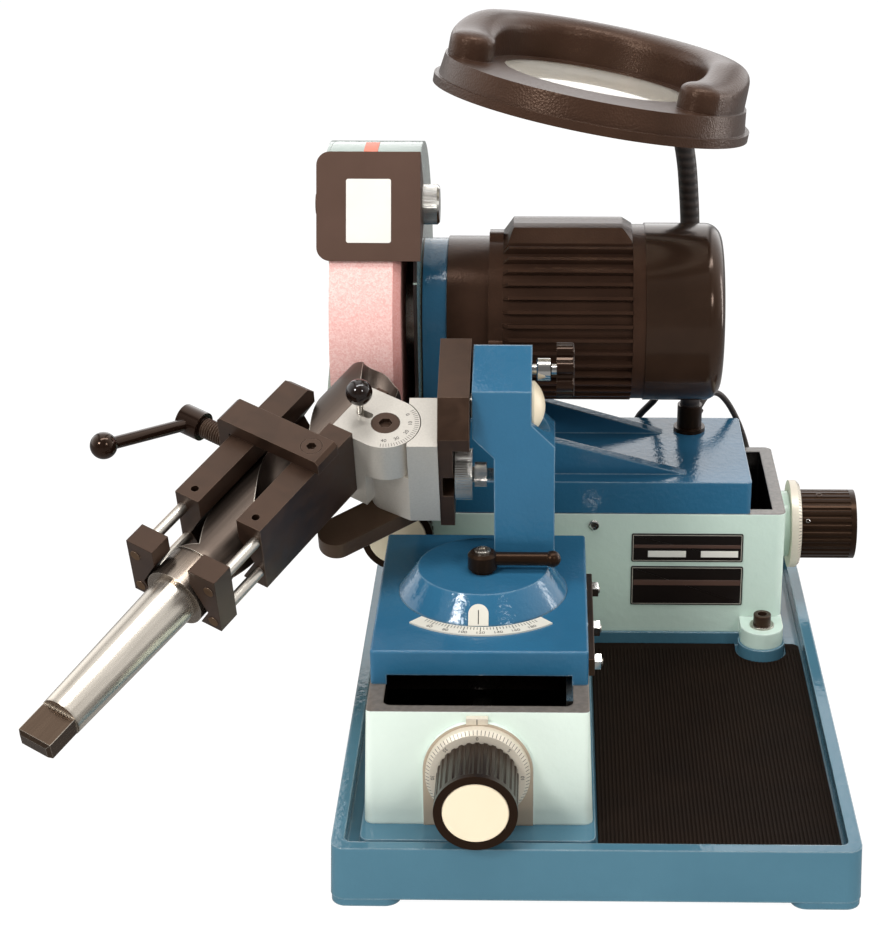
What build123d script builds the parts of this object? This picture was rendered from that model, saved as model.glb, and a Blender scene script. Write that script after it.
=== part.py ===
"""Bench drill-bit grinder: tray, cross slide with swinging V-holder, motor carriage with wheel, and lamp.

Millimetres, +Z up. The origin is the middle of the tray's footprint on the bench, the operator stands at -Y.
"""

from build123d import *
from math import cos, pi, radians, sin, sqrt, tan
import os

os.makedirs("parts", exist_ok=True)

# Fits
running = 0.05            # radial room of a shaft in its bore
sliding = 0.1             # room of a flat guide
free = 0.3                # room between pieces that pass each other

# Tray
tray_width = 320.0
tray_depth = 450.0
tray_height = 40.0
tray_corner = 10.0
tray_draft = 2.0
foot_height = 5.0
foot_size = 42.0
foot_inset = 0.5
rim_width = 9.0
skirt = 7.0
floor_top = 26.0
floor_thickness = 7.0
pad_corner = 6.0
front_pad_height = 6.0
rear_pad_height = 10.0

# Rubber mat in the tray
mat_gap = 1.5
mat_base = 2.0
mat_rib = 1.0
mat_pitch = 2.5
rib_margin = 9.0          # plain strip of mat behind its ribs

# Front base with its trough
front_x = -71.5
front_base_width = 140.4
front_base_front = -183.5
front_base_back = 46.0
front_base_height = 77.0
front_draft = 2.0
front_floor = 12.0
trough_width = 115.0
trough_front_wall = 10.5
trough_back_wall = 9.0
trough_undercut = 3.0
trough_corner = 5.0
ledge_height = 12.0
gib_thickness = 4.0
gib_length = 196.0
gib_screw_radius = 2.5
gib_nut_radius = 5.5
gib_screw_ys = (-105.0, -59.0, -2.0)

# Feed knobs, the same on both slides
feed_height = 38.0        # over the front base's underside
screw_radius = 6.0
collar_radius = 10.0
collar_width = 4.0
boss_radius = 33.5
boss_step = 1.0
dial_radius = 31.75
dial_width = 7.5
dial_bevel = 2.5
knob_radius = 25.0
knob_length = 39.5
knob_gap = 0.5
knob_web = 8.0            # solid part of the knob behind its cap
knob_flutes = 30
knob_collar = 4.0         # plain part at the knob's front
flute_radius = 1.8
cap_radius = 20.0
cap_height = 4.0

# Front slide and its turret
slide_width = 134.0
slide_front = -147.0
slide_length = 170.0
slide_thickness = 23.0
slide_edge = 2.5
tongue_height = 17.0
tongue_setback = 25.0
relief_height = 6.5
relief_leg = 10.0
hook_reach = 2.5
nut_width = 36.0
nut_length = 40.0
nut_drop = 15.0           # nut below the screw's axis
turret_y = -60.0
turret_radius = 54.5
turret_top_radius = 42.0
turret_height = 16.5
spigot_radius = 15.0
spigot_depth = 11.0
scale_inner = 56.0
scale_outer = 67.0
scale_half_angle = 42.0
scale_thickness = 1.0

# Column
column_front = -57.0
column_back = -13.0
column_foot_left = -64.3
column_foot_right = -25.6
column_head_left = -77.9
column_head_right = -40.4
column_clear = 1.5        # column over the slide
jog_left = 221.8
jog_right = 229.7
column_top_front = 267.0
column_top_back = 282.4

# Clamp lever on the turret
lever_y = -67.5
lever_hub_radius = 9.5
lever_hub_height = 11.0
lever_collar_radius = 7.5
lever_collar_height = 2.5
lever_stud_radius = 5.0
lever_stud_depth = 9.0
lever_length = 50.0
lever_radius = 4.4
lever_end_radius = 5.4
lever_rise = 8.5

# Swing pivot on the column
pivot_y = -35.0
pivot_z = 249.3
pin_radius = 8.0
cap_cover_radius = 16.0
cap_cover_height = 8.5
cap_cover_rim = 1.5

# Lock knob on the column's right face
lock_y = -18.0
lock_z = 267.7
lock_stem_radius = 3.5
lock_stem_depth = 14.0
sleeve_radius = 7.5
sleeve_offset = 2.8
sleeve_length = 9.6
star_offset = 15.5
star_length = 11.4
star_core = 13.2
star_lobes = 7
star_lobe_radius = 4.8
star_edge = 1.5

# Stop screw on the column's left face
stop_y = -45.0
stop_z = 206.0
stop_stem_radius = 4.0
stop_stem_depth = 12.0
stop_barrel_radius = 8.0
stop_barrel_start = 4.7
stop_barrel_end = 12.5
thumb_radius = 16.5
thumb_start = 13.7
thumb_end = 24.7
stop_cone_radius = 5.0
stop_tip_radius = 1.5
stop_tip_end = 30.7

# Tilted swing arm, measured from the pivot
tilt = 23.0
arm_left = -99.2
arm_thickness = 20.0
arm_web = 9.2
arm_half_width = 38.0
arm_top = 25.5
arm_bottom = -71.6
arm_step = -3.2
arm_front_chamfer = 19.0
arm_back_chamfer = 3.0
slot_top = -27.2
slot_bottom = -44.2
slot_end = -5.0
slot_floor = 2.2

# Angle bracket and handle on the arm
bracket_left = -118.5
bracket_front = -39.0
bracket_back = 4.6
bracket_top = 2.0
bracket_bottom = -66.2
ledge_top = -27.3
ledge_end_radius = 12.0
bracket_root = 2.0
handle_width = 24.0
handle_thickness = 14.0
handle_root = (-112.0, -11.0)
handle_end = (-166.0, -49.0)

# Drill and its V-holder, measured back from the drill's point
drill_angle = 59.0
tip_x = -137.0
tip_ahead = 55.2
tip_drop = -26.0
drill_back = 2.0          # point set back from the holder's reference
drill_diameter = 42.0
point_angle = 118.0
flute_end = 205.0
flute_lead = 228.0
flute_cut_radius = 13.5
flute_cut_centre = 19.5
flute_phase = 90.0
neck_diameter = 40.0
neck_end = 228.0
shank_diameter = 31.3
shank_end_diameter = 26.5
shank_end = 333.0
tang_length = 24.0
tang_thickness = 11.9
tang_width = 23.0
tang_edge = 2.0
bar_inner = 14.4
bar_outer = 32.0
bar_bottom = -18.5
bar_top = 33.0
bar_end = 180.0
left_bar_start = 60.0
left_bar_drop = 0.2
left_bar_chamfer = 6.0
right_bar_start = 83.0
ridge_start = 30.0
ridge_top = 20.0
ridge_outer = 28.5
ridge_flat = 9.0
ridge_foot = 24.5
ridge_crest = 22.2
vee_angle = 122.0
vee_room = 0.05
jaw_room = 0.25
set_screw_a = 172.0
set_screw_b = 23.0
set_screw_radius = 2.5
set_screw_depth = 7.0

# Swivel block that carries the right bar
swivel_a = 60.6
swivel_b = 41.5
block_radius = 22.0
block_left = 14.0
block_top = 28.0
block_leg_length = 7.6
block_leg_left = 22.3
block_leg_right = 39.0
block_leg_bottom = -29.0
seat_room = 0.5
channel_foot = -28.0
swivel_head_radius = 9.0
swivel_head_height = 5.0
swivel_stud_radius = 5.0
swivel_stud_depth = 18.0
pin_slot_start = 22.5
pin_slot_end = 29.0
pin_slot_depth = 6.0
pin_stem_radius = 2.5
pin_stem_height = 13.0
pin_ball_radius = 8.5

# Clamp bridge over the bars
bridge_start = 102.5
bridge_length = 21.0
bridge_thickness = 10.0
bridge_right = 35.0
bridge_leg_outer = -42.0
bridge_leg_thickness = 8.2
bridge_leg_bottom = -5.0
bridge_screw_radius = 4.0
bridge_head_radius = 6.5
bridge_head_height = 6.0
bridge_screw_depth = 14.0
spindle_height = 14.0
spindle_radius = 6.0
spindle_depth = 4.7
hub_start = -64.0
hub_length = 16.0
hub_radius = 9.5
clamp_arm_radius = 4.0
clamp_ball_radius = 8.5
clamp_ball = (176.0, -90.0, 38.0)

# End stops on rods behind the bars
stop_block_start = 211.0
stop_block_length = 15.5
stop_block_inner = 13.4
stop_block_outer = 32.9
stop_block_bottom = -12.0
stop_block_top = 31.5
rod_b = 27.5
rod_heights = (21.0, -6.0)
rod_radius = 3.5
rod_inner_end = 132.0
rod_hole_end = 121.0
rod_proud = 0.4

# Rear base
rear_left = -146.0
rear_right = 137.0
rear_front = 67.0
rear_back = 190.0
rear_height = 92.0
rear_corner = 6.0
rear_wall = 9.0
rear_end_wall = 9.0
rear_floor = 12.0
rear_ledge = 12.0
rear_undercut = 3.0
lug_radius = 15.0
lug_height = 12.0
lug_reach = 13.0
lug_back_reach = 10.0
lug_inset = 15.0
base_screw_radius = 4.0
base_screw_depth = 6.0
rear_feed_y = 127.0
rear_feed_z = 94.0
rear_boss_radius = 24.0
rear_boss_height = 8.0
gland_width = 14.0
gland_depth = 16.0
gland_height = 14.0
gland_top = 100.0
gland_xs = (31.5, 123.5)

# Lock knob on the rear base's front face
lock_knob_x = -135.0
lock_knob_z = 114.0
lock_knob_radius = 25.0
lock_knob_length = 12.0
lock_knob_cap = 20.5
lock_knob_cap_height = 3.0
lock_screw_radius = 5.0

# Motor carriage
carriage_left = -117.0
carriage_right = 112.0
carriage_front = 67.5
carriage_back = 189.0
carriage_thickness = 24.0
carriage_edge = 3.0
carriage_tongue = 15.0
carriage_tongue_left = -140.0
carriage_tongue_right = 104.0
rear_nut_start = 20.0
screw_overrun = 15.0
upright_thickness = 17.5
upright_radius = 51.0
upright_foot = 112.0
rib_front_y = 86.0
rib_back_y = 162.0
rib_thickness = 9.0
rib_height = 44.0
rib_front_end = 67.0
rib_back_end = 54.0

# Wheel, guard and eye shield round the motor's axis
axis_y = 127.0
axis_z = 257.0
wheel_radius = 100.0
wheel_left = -175.0
wheel_right = -128.0
wheel_bevel = 5.0
wheel_recess_radius = 46.0
wheel_recess = 14.0
flange_radius = 40.0
flange_thickness = 6.0
nut_radius = 15.0
nut_height = 8.0
shaft_radius = 7.5
guard_radius = 118.0
guard_band = 3.0
guard_left = -181.0
guard_plate = 2.5
guard_mouth_top = 120.0
guard_mouth_bottom = 210.0
guard_front = 87.0
guard_hole = 22.0
shield_left = -183.2
shield_sheet = 2.0
shield_lean = 20.0
shield_foot = (-82.6, 62.5)
shield_height = 71.7
shield_round = 9.0
shield_pivot = (-37.0, 88.0)
shield_boss = 14.0
shield_cheek = 18.0
shield_stud_radius = 4.0
shield_screw_radius = 7.0
shield_screw_head = 3.5
shield_nut_radius = 13.5
shield_nut_height = 11.0

# Motor
neck_radius = 52.5
neck_right = -71.0
lug_ring_radius = 57.0
lug_ring_right = -61.3
lug_ring_lug = 7.0
lug_ring_turn = 8.0
motor_spigot_radius = 40.0
motor_spigot = 5.0
bearing_radius = 17.5
bearing_width = 11.0
pocket_room = 3.3
pocket_wall = 1.0
body_right = 27.0
body_radius = 57.0
fin_radius = 62.0
fin_count = 40
fin_thickness = 2.4
fin_pad_half = 24.0
fin_pad_top = 66.0
fin_run = 7.0             # length over which the fins' ends slope down
bore_radius = 32.0
rotor_radius = 31.4
rotor_inset = 14.0
rear_shield_right = 36.0
rear_shield_radius = 61.0
cowl_radius = 62.0
cowl_right = 90.0
cowl_sheet = 1.6
cowl_round = 12.0
cowl_slots = 12
slot_inner = 18.0
slot_outer = 44.0
slot_width = 5.0
fan_radius = 50.0
fan_plate = 3.0
fan_hub_radius = 14.0
fan_start = 50.0
fan_depth = 20.0
fan_blades = 8
blade_outer = 46.0
blade_thickness = 2.0
cord_gland_x = 54.0
cord_gland_angle = -50.0
cord_gland_radius = 5.5
cord_gland_length = 11.0

# Lamp
post_x = 73.8
post_y = 166.0
post_radius = 9.0
post_flange_radius = 11.5
post_flange_height = 3.0
post_height = 20.0
neck_tube_radius = 7.0
post_socket = 10.0
neck_straight = 14.0
neck_bends = [(73.3, 192.5, 214.0), (73.5, 203.0, 258.0), (72.0, 202.0, 305.0), (68.5, 202.0, 345.0)]
neck_drop = 16.0
neck_ball_radius = 8.4
knuckle_radius = 10.0
knuckle_width = 12.0
knuckle_angle = 48.0
knuckle_gap = 6.0
lamp_centre = (-3.0, 110.0, 405.6)
lamp_roll = 10.7
lamp_pitch = 5.4
lamp_rim_radius = 107.0
lamp_rim_height = 6.0
lamp_wall_radius = 104.0
lamp_top_radius = 102.0
lamp_height = 20.0
lamp_sheet = 2.5
lens_radius = 62.0
lens_seat = 3.0
lens_drop = 7.0
lens_lip = 2.0
lens_edge = 4.0
lens_crown = 2.5
ring_radius = 83.0
ring_tube_radius = 7.0
ring_tube_height = 8.5
bulge_ring = 85.5
bulge_radius = 15.0
bulge_height = 35.0
bulge_half_angle = 113.0
bulge_swing = 17.0        # turn of the horseshoe towards the neck
clip_radius = 5.0
fork_cheek = 4.0

# Leads
run_share = 0.45          # part of a straight run that one bend may take
motor_lead_diameter = 5.0
lamp_lead_diameter = 4.5
lead_boss_radius = 4.0
lead_boss_length = 16.0
lead_boss_line = (0.45, 0.56, 0.7)
motor_lead_points = [
    (54.5, 181.5, 192.0), (54.0, 187.5, 179.0), (50.5, 191.0, 166.5), (43.5, 194.3, 157.8),
    (36.8, 197.0, 149.0), (32.8, 198.8, 135.0), (31.0, 199.0, 118.0),
]
lamp_lead_points = [
    (84.7, 179.5, 170.9), (90.2, 186.0, 173.4), (96.6, 191.6, 171.0), (102.6, 195.6, 163.8),
    (108.2, 197.8, 154.3), (113.6, 198.9, 142.8), (118.2, 199.3, 130.2), (121.8, 199.0, 116.4),
]

# Levels and places that follow
floor_under = floor_top - floor_thickness
front_pad_top = floor_top + front_pad_height
front_top = front_pad_top + front_base_height
slide_top = front_top + slide_thickness
turret_top = slide_top + turret_height
feed_z = front_pad_top + feed_height
rear_pad_top = floor_top + rear_pad_height
rear_top = rear_pad_top + rear_height
carriage_top = rear_top + carriage_thickness
front_boss_face = front_base_front - boss_step
rear_boss_face = rear_right + rear_boss_height
drill_radius = drill_diameter / 2
vee_half = radians(vee_angle / 2)
tray_inside = tray_width / 2 - rim_width

# Planes: the arm's swing frame and the holder's frame lie in the tilted plane through the pivot
tilted_y = Vector(0, cos(radians(tilt)), sin(radians(tilt)))
tilted_z = Vector(0, -sin(radians(tilt)), cos(radians(tilt)))
drill_line = Vector(cos(radians(drill_angle)), 0, 0) + tilted_y * sin(radians(drill_angle))
swing = Plane(origin=(0, pivot_y, pivot_z), x_dir=(1, 0, 0), z_dir=tilted_z)
holder = Plane(
    origin=swing.from_local_coords(Vector(tip_x, tip_ahead, tip_drop)),
    x_dir=drill_line * -1,
    z_dir=tilted_z,
)


def across(x):
    """Plane square to X: sketches in (y, z), extrudes to the right."""
    return Plane.YZ.offset(x)


def facing(y):
    """Plane square to Y: sketches in (x, z), extrudes to the front."""
    return Plane.XZ.offset(-y)


def swing_side(x):
    """Plane square to X in the swing frame: sketches in (back, up) from the pivot, extrudes to the right."""
    return Plane(origin=swing.from_local_coords(Vector(x, 0, 0)), x_dir=swing.y_dir, z_dir=swing.x_dir)


def holder_end(a):
    """Plane across the drill: sketches in (b, z), extrudes away from the point."""
    return Plane(origin=holder.from_local_coords(Vector(a, 0, 0)), x_dir=holder.y_dir, z_dir=holder.x_dir)


def holder_side(b):
    """Plane along the drill: sketches in (a, z), extrudes to the left."""
    left = holder.y_dir * -1
    return Plane(origin=holder.from_local_coords(Vector(0, b, 0)), x_dir=holder.x_dir, z_dir=left)


def axle(x):
    """Plane square to the motor's axis and centred on it: sketches in (back, up), extrudes to the right."""
    return Plane(origin=(x, axis_y, axis_z), x_dir=(0, 1, 0), z_dir=(1, 0, 0))


def write(builder, name):
    """Labels a finished sub-part and writes its STEP file."""
    builder.part.label = name
    export_step(builder.part, f"parts/{name}.step")


def outline(points):
    """Closed face through the points, added to the sketch that is open."""
    return Polygon(*points, align=None)


def bend_radii(points):
    """Bend radius at each inner point of a route, as large as the straight runs beside it allow."""
    route = [Vector(*p) for p in points]
    runs = [after - before for before, after in zip(route, route[1:])]
    radii = []
    for before, after in zip(runs, runs[1:]):
        half_turn = radians(before.get_angle(after)) / 2
        radii.append(run_share * min(before.length, after.length) / tan(half_turn))
    return radii


# Tray: a shallow casting on four feet, hollow underneath, with machined pads on its floor
lug_centres = (
    (rear_right - lug_inset, rear_front - lug_reach),
    (rear_right - lug_inset, rear_back + lug_back_reach),
    (rear_left + lug_inset, rear_back + lug_back_reach),
)
with BuildPart() as base_tray:
    with BuildSketch(Plane.XY.offset(foot_height)):
        RectangleRounded(tray_width, tray_depth, tray_corner)
    extrude(amount=tray_height - foot_height, taper=tray_draft)
    with BuildSketch(Plane.XY.offset(floor_top)):
        RectangleRounded(tray_width - 2 * rim_width, tray_depth - 2 * rim_width, tray_corner / 2)
    extrude(amount=tray_height - floor_top, mode=Mode.SUBTRACT)
    with BuildSketch(Plane.XY.offset(foot_height)):
        RectangleRounded(tray_width - 2 * skirt, tray_depth - 2 * skirt, tray_corner / 2)
    extrude(amount=floor_under - foot_height, mode=Mode.SUBTRACT)
    with BuildSketch(Plane.XY):
        foot_span = foot_size + 2 * foot_inset
        with GridLocations(tray_width - foot_span, tray_depth - foot_span, 2, 2):
            RectangleRounded(foot_size, foot_size, tray_corner - foot_inset)
    extrude(amount=floor_under)
    with BuildSketch(Plane.XY.offset(floor_top)):
        front_pad_length = front_base_back - front_base_front + 4 * pad_corner
        front_pad_y = (front_base_back + front_base_front) / 2 - pad_corner
        with Locations((front_x, front_pad_y)):
            RectangleRounded(front_base_width + 2 * mat_gap, front_pad_length, pad_corner)
    extrude(amount=front_pad_height)
    with BuildSketch(Plane.XY.offset(floor_top)):
        with Locations(((rear_left + rear_right) / 2, (rear_front + rear_back) / 2)):
            rear_pad = (rear_right - rear_left + 2 * mat_gap, rear_back - rear_front + 2 * mat_gap)
            RectangleRounded(*rear_pad, pad_corner)
        with Locations(*lug_centres):
            Circle(lug_radius + mat_gap)
    extrude(amount=rear_pad_height)
write(base_tray, "base_tray")

# Ribbed mat on the free part of the tray's floor
mat_left = front_x + front_base_width / 2 + 2 * mat_gap
mat_right = tray_inside - mat_gap
mat_front = -tray_depth / 2 + rim_width + mat_gap
mat_back = rear_front - 2 * mat_gap
mat_corner = tray_corner / 2
rib_total = int((mat_right - mat_left) / mat_pitch)
with BuildPart() as rubber_mat:
    with BuildSketch(Plane.XY.offset(floor_top)):
        with Locations(((mat_left + mat_right) / 2, (mat_front + mat_back) / 2)):
            RectangleRounded(mat_right - mat_left, mat_back - mat_front, mat_corner)
        with Locations(lug_centres[0]):
            Circle(lug_radius + 2 * mat_gap, mode=Mode.SUBTRACT)
            with Locations((0, lug_radius)):
                Rectangle(2 * lug_radius + 4 * mat_gap, 2 * lug_radius, mode=Mode.SUBTRACT)
    extrude(amount=mat_base)
    with BuildSketch(Plane.XY.offset(floor_top + mat_base)):
        rib_length = mat_back - rib_margin - mat_front
        with Locations(((mat_left + mat_right) / 2, mat_front + rib_length / 2)):
            with GridLocations(mat_pitch, 0, rib_total, 1):
                Rectangle(mat_pitch / 2, rib_length)
            RectangleRounded(mat_right - mat_left, rib_length, mat_corner, mode=Mode.INTERSECT)
        with Locations(lug_centres[0]):
            Circle(lug_radius + 3 * mat_gap, mode=Mode.SUBTRACT)
            with Locations((0, lug_radius)):
                Rectangle(2 * lug_radius + 6 * mat_gap, 2 * lug_radius, mode=Mode.SUBTRACT)
    extrude(amount=mat_rib)
write(rubber_mat, "rubber_mat")

# Front base: drafted casting with a T-shaped trough for the cross slide
trough_front = front_base_front + trough_front_wall
trough_back = front_base_back - trough_back_wall
trough_length = trough_back - trough_front
trough_y = (trough_back + trough_front) / 2
ledge_under = front_top - ledge_height
gib_z = ledge_under + ledge_height / 2
gib_seat = front_x + front_base_width / 2 - (gib_z - front_pad_top) * tan(radians(front_draft)) - free
with BuildPart() as front_slide_base:
    with BuildSketch(Plane.XY.offset(front_pad_top)):
        with Locations((front_x, (front_base_front + front_base_back) / 2)):
            RectangleRounded(front_base_width, front_base_back - front_base_front, pad_corner)
    extrude(amount=front_base_height, taper=front_draft)
    with BuildSketch(facing(trough_front)):
        with Locations((front_x, feed_z)):
            Circle(boss_radius)
        with Locations((front_x, (front_pad_top + feed_z) / 2)):
            Rectangle(2 * boss_radius, feed_z - front_pad_top)
    extrude(amount=trough_front - front_boss_face)
    with BuildSketch(Plane.XY.offset(front_pad_top + front_floor)):
        with Locations((front_x, trough_y)):
            Rectangle(trough_width + 2 * trough_undercut, trough_length)
    extrude(amount=ledge_under - front_pad_top - front_floor, mode=Mode.SUBTRACT)
    with BuildSketch(Plane.XY.offset(ledge_under)):
        with Locations((front_x, trough_y)):
            RectangleRounded(trough_width, trough_length, trough_corner)
    extrude(amount=ledge_height, mode=Mode.SUBTRACT)
    with BuildSketch(facing(trough_front + free)):
        with Locations((front_x, feed_z)):
            Circle(screw_radius + running)
    extrude(amount=trough_front - front_boss_face + 2 * free, mode=Mode.SUBTRACT)
    with BuildSketch(across(front_x)):
        with Locations(*[(y, gib_z) for y in gib_screw_ys]):
            Circle(gib_screw_radius)
    extrude(amount=front_base_width, mode=Mode.SUBTRACT)
    with BuildSketch(across(gib_seat)):
        with Locations(*[(y, gib_z) for y in gib_screw_ys]):
            Circle(gib_nut_radius + free)
    extrude(amount=front_base_width, mode=Mode.SUBTRACT)
write(front_slide_base, "front_slide_base")

# Gib strip on the trough's right wall
gib_left = front_x + trough_width / 2 - gib_thickness
with BuildPart() as gib_strip:
    with BuildSketch(across(gib_left)):
        with Locations((trough_y, gib_z)):
            Rectangle(gib_length, ledge_height - 2 * free)
    extrude(amount=gib_thickness)
write(gib_strip, "gib_strip")

# Cross slide with its tongue, one hook under the left ledge and the feed nut
tongue_left = front_x - trough_width / 2 + sliding
tongue_right = gib_left - sliding
slide_y = slide_front + slide_length / 2
nut_y = slide_y - nut_length / 2
with BuildPart() as front_slide:
    with BuildSketch(Plane.XY.offset(front_top)):
        with Locations((front_x, slide_y)):
            Rectangle(slide_width, slide_length)
    extrude(amount=slide_thickness)
    fillet(front_slide.edges().filter_by(Axis.Z), slide_edge)
    fillet(front_slide.edges().group_by(Axis.Z)[-1], slide_edge / 2)
    with BuildSketch(facing(slide_front + slide_length)):
        with Locations(((tongue_left + tongue_right) / 2, front_top - tongue_height / 2)):
            Rectangle(tongue_right - tongue_left, tongue_height)
        with Locations((tongue_left, ledge_under - sliding - (tongue_height - ledge_height) / 2)):
            Rectangle(2 * hook_reach, tongue_height - ledge_height - sliding)
    extrude(amount=slide_length - tongue_setback)
    with BuildSketch(facing(slide_front + tongue_setback)):
        with Locations((front_x, front_top + relief_height / 2)):
            Rectangle(slide_width - 2 * relief_leg, relief_height)
    extrude(amount=tongue_setback, mode=Mode.SUBTRACT)
    with BuildSketch(facing(nut_y + nut_length)):
        nut_bottom = feed_z - nut_drop
        with Locations((front_x, (nut_bottom + front_top - tongue_height) / 2)):
            Rectangle(nut_width, front_top - tongue_height - nut_bottom)
        with Locations((front_x, feed_z)):
            Circle(screw_radius + running, mode=Mode.SUBTRACT)
    extrude(amount=nut_length)
    with BuildSketch(Plane.XY.offset(slide_top)):
        with Locations((front_x, turret_y)):
            Circle(spigot_radius + running)
    extrude(amount=-spigot_depth - free, mode=Mode.SUBTRACT)
write(front_slide, "front_slide")

# Angle scale let on to the slide round the turret's front
with BuildPart() as turret_scale:
    with BuildSketch(Plane.XY.offset(slide_top)):
        with Locations((front_x, turret_y)):
            Circle(scale_outer)
            Circle(scale_inner, mode=Mode.SUBTRACT)
        side = 2 * scale_outer
        far = (side * sin(radians(scale_half_angle)), -side * cos(radians(scale_half_angle)))
        corners = [(0, 0), far, (0, -2 * side), (-far[0], far[1])]
        Polygon(*[(front_x + x, turret_y + y) for x, y in corners], align=None, mode=Mode.INTERSECT)
    extrude(amount=scale_thickness)
write(turret_scale, "turret_scale")


def knob_solid(plane, radius, length, cap, cap_depth, flutes, bore, bore_depth):
    """Fluted hand knob that grows along the plane's normal, hollowed for its cap and bored from behind."""
    with BuildPart() as knob:
        with BuildSketch(plane):
            Circle(radius)
        extrude(amount=length)
        with BuildSketch(plane):
            with PolarLocations(radius + flute_radius / 2, flutes):
                Circle(flute_radius)
        extrude(amount=length - knob_collar, mode=Mode.SUBTRACT)
        with BuildSketch(plane.offset(length - cap_depth)):
            Circle(cap + running)
        extrude(amount=cap_depth, mode=Mode.SUBTRACT)
        with BuildSketch(plane):
            Circle(bore + running)
        extrude(amount=bore_depth, mode=Mode.SUBTRACT)
    return knob


def cap_solid(plane, radius, height):
    """Round cover with a softened front edge."""
    with BuildPart() as cover:
        with BuildSketch(plane):
            Circle(radius)
        extrude(amount=height)
        fillet(cover.faces().sort_by(Axis(plane.origin, plane.z_dir))[-1].edges(), height / 3)
    return cover


def feed_pieces(plane, screw_back, thrust_wall, name):
    """Feed screw, graduated dial, knob and cap of one slide, along the plane's normal from the boss face."""
    dial_plane = plane.offset(sliding)
    knob_plane = dial_plane.offset(dial_width + knob_gap)
    screw_front = sliding + dial_width + knob_gap + knob_length - cap_height - knob_web
    with BuildPart() as screw:
        with BuildSketch(plane.offset(-screw_back)):
            Circle(screw_radius)
        extrude(amount=screw_back + screw_front)
        with BuildSketch(plane.offset(-thrust_wall - collar_width - sliding)):
            Circle(collar_radius)
        extrude(amount=collar_width)
    write(screw, f"{name}_feed_screw")
    with BuildPart() as dial:
        with BuildSketch(dial_plane):
            Circle(dial_radius)
            Circle(screw_radius + running, mode=Mode.SUBTRACT)
        extrude(amount=dial_width)
        outer = dial.faces().sort_by(Axis(plane.origin, plane.z_dir))[-1].edges().sort_by(SortBy.LENGTH)[-1]
        chamfer(outer, dial_bevel)
    write(dial, f"{name}_dial")
    bore_depth = screw_front - sliding - dial_width - knob_gap
    knob = knob_solid(knob_plane, knob_radius, knob_length, cap_radius, cap_height, knob_flutes,
                      screw_radius, bore_depth + running)
    write(knob, f"{name}_knob")
    cover = cap_solid(knob_plane.offset(knob_length - cap_height), cap_radius, cap_height)
    write(cover, f"{name}_knob_cap")


# Front feed: screw through the front wall, dial, knob and cap
front_feed = Plane(origin=(front_x, front_boss_face, feed_z), x_dir=(1, 0, 0), z_dir=(0, -1, 0))
front_screw_back = nut_y + nut_length + 2 * collar_width - front_boss_face
feed_pieces(front_feed, front_screw_back, trough_front - front_boss_face, "front")

# Turret and column: one casting that swivels on the slide
turret_centre = (front_x, turret_y)
head_width = column_head_right - column_head_left
jog = column_foot_left - column_head_left
jog_out = column_foot_right - column_head_right
with BuildPart() as swivel_column:
    with BuildSketch(Plane.XY.offset(slide_top)):
        with Locations(turret_centre):
            Circle(turret_radius)
    with BuildSketch(Plane.XY.offset(turret_top)):
        with Locations(turret_centre):
            Circle(turret_top_radius)
    loft()
    with BuildSketch(Plane.XY.offset(slide_top - spigot_depth)):
        with Locations(turret_centre):
            Circle(spigot_radius)
    extrude(amount=spigot_depth)
    with BuildSketch(facing(column_back)):
        outline([
            (column_foot_left, slide_top + column_clear),
            (column_foot_left, jog_left),
            (column_head_left, jog_left + jog),
            (column_head_left, column_top_back),
            (column_head_right, column_top_back),
            (column_head_right, jog_right + jog_out),
            (column_foot_right, jog_right),
            (column_foot_right, slide_top + column_clear),
        ])
    extrude(amount=column_back - column_front)
    with BuildSketch(across(column_head_left)):
        outline([(column_front, column_top_front), (column_back, column_top_back),
                 (column_front, column_top_back)])
    extrude(amount=head_width, mode=Mode.SUBTRACT)
    with BuildSketch(across(column_head_left)):
        with Locations((pivot_y, pivot_z)):
            Circle(pin_radius + running)
    extrude(amount=head_width, mode=Mode.SUBTRACT)
    with BuildSketch(across(column_head_right)):
        with Locations((pivot_y, pivot_z)):
            Circle(cap_cover_radius + free)
    extrude(amount=column_foot_right - column_head_right, mode=Mode.SUBTRACT)
    with BuildSketch(across(column_head_right)):
        with Locations((lock_y, lock_z)):
            Circle(lock_stem_radius + running)
    extrude(amount=-lock_stem_depth - free, mode=Mode.SUBTRACT)
    with BuildSketch(across(column_foot_left)):
        with Locations((stop_y, stop_z)):
            Circle(stop_stem_radius + running)
    extrude(amount=stop_stem_depth + free, mode=Mode.SUBTRACT)
    with BuildSketch(Plane.XY.offset(turret_top)):
        with Locations((front_x, lever_y)):
            Circle(lever_stud_radius + running)
    extrude(amount=-lever_stud_depth - free, mode=Mode.SUBTRACT)
write(swivel_column, "swivel_column")

# Clamp lever that locks the turret
with BuildPart() as turret_lever:
    with BuildSketch(Plane.XY.offset(turret_top + lever_collar_height)):
        with Locations((front_x, lever_y)):
            Circle(lever_hub_radius)
    extrude(amount=lever_hub_height)
    chamfer(turret_lever.edges().group_by(Axis.Z)[-1], lever_hub_radius / 5)
    with BuildSketch(Plane.XY.offset(turret_top + sliding)):
        with Locations((front_x, lever_y)):
            Circle(lever_collar_radius)
    extrude(amount=lever_collar_height)
    with BuildSketch(Plane.XY.offset(turret_top - lever_stud_depth)):
        with Locations((front_x, lever_y)):
            Circle(lever_stud_radius)
    extrude(amount=lever_stud_depth + sliding)
    with BuildSketch(across(front_x)):
        with Locations((lever_y, turret_top + lever_rise)):
            Circle(lever_radius)
    extrude(amount=lever_length - lever_end_radius)
    with Locations((front_x + lever_length - lever_end_radius, lever_y, turret_top + lever_rise)):
        Sphere(lever_end_radius)
write(turret_lever, "turret_lever")

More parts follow.
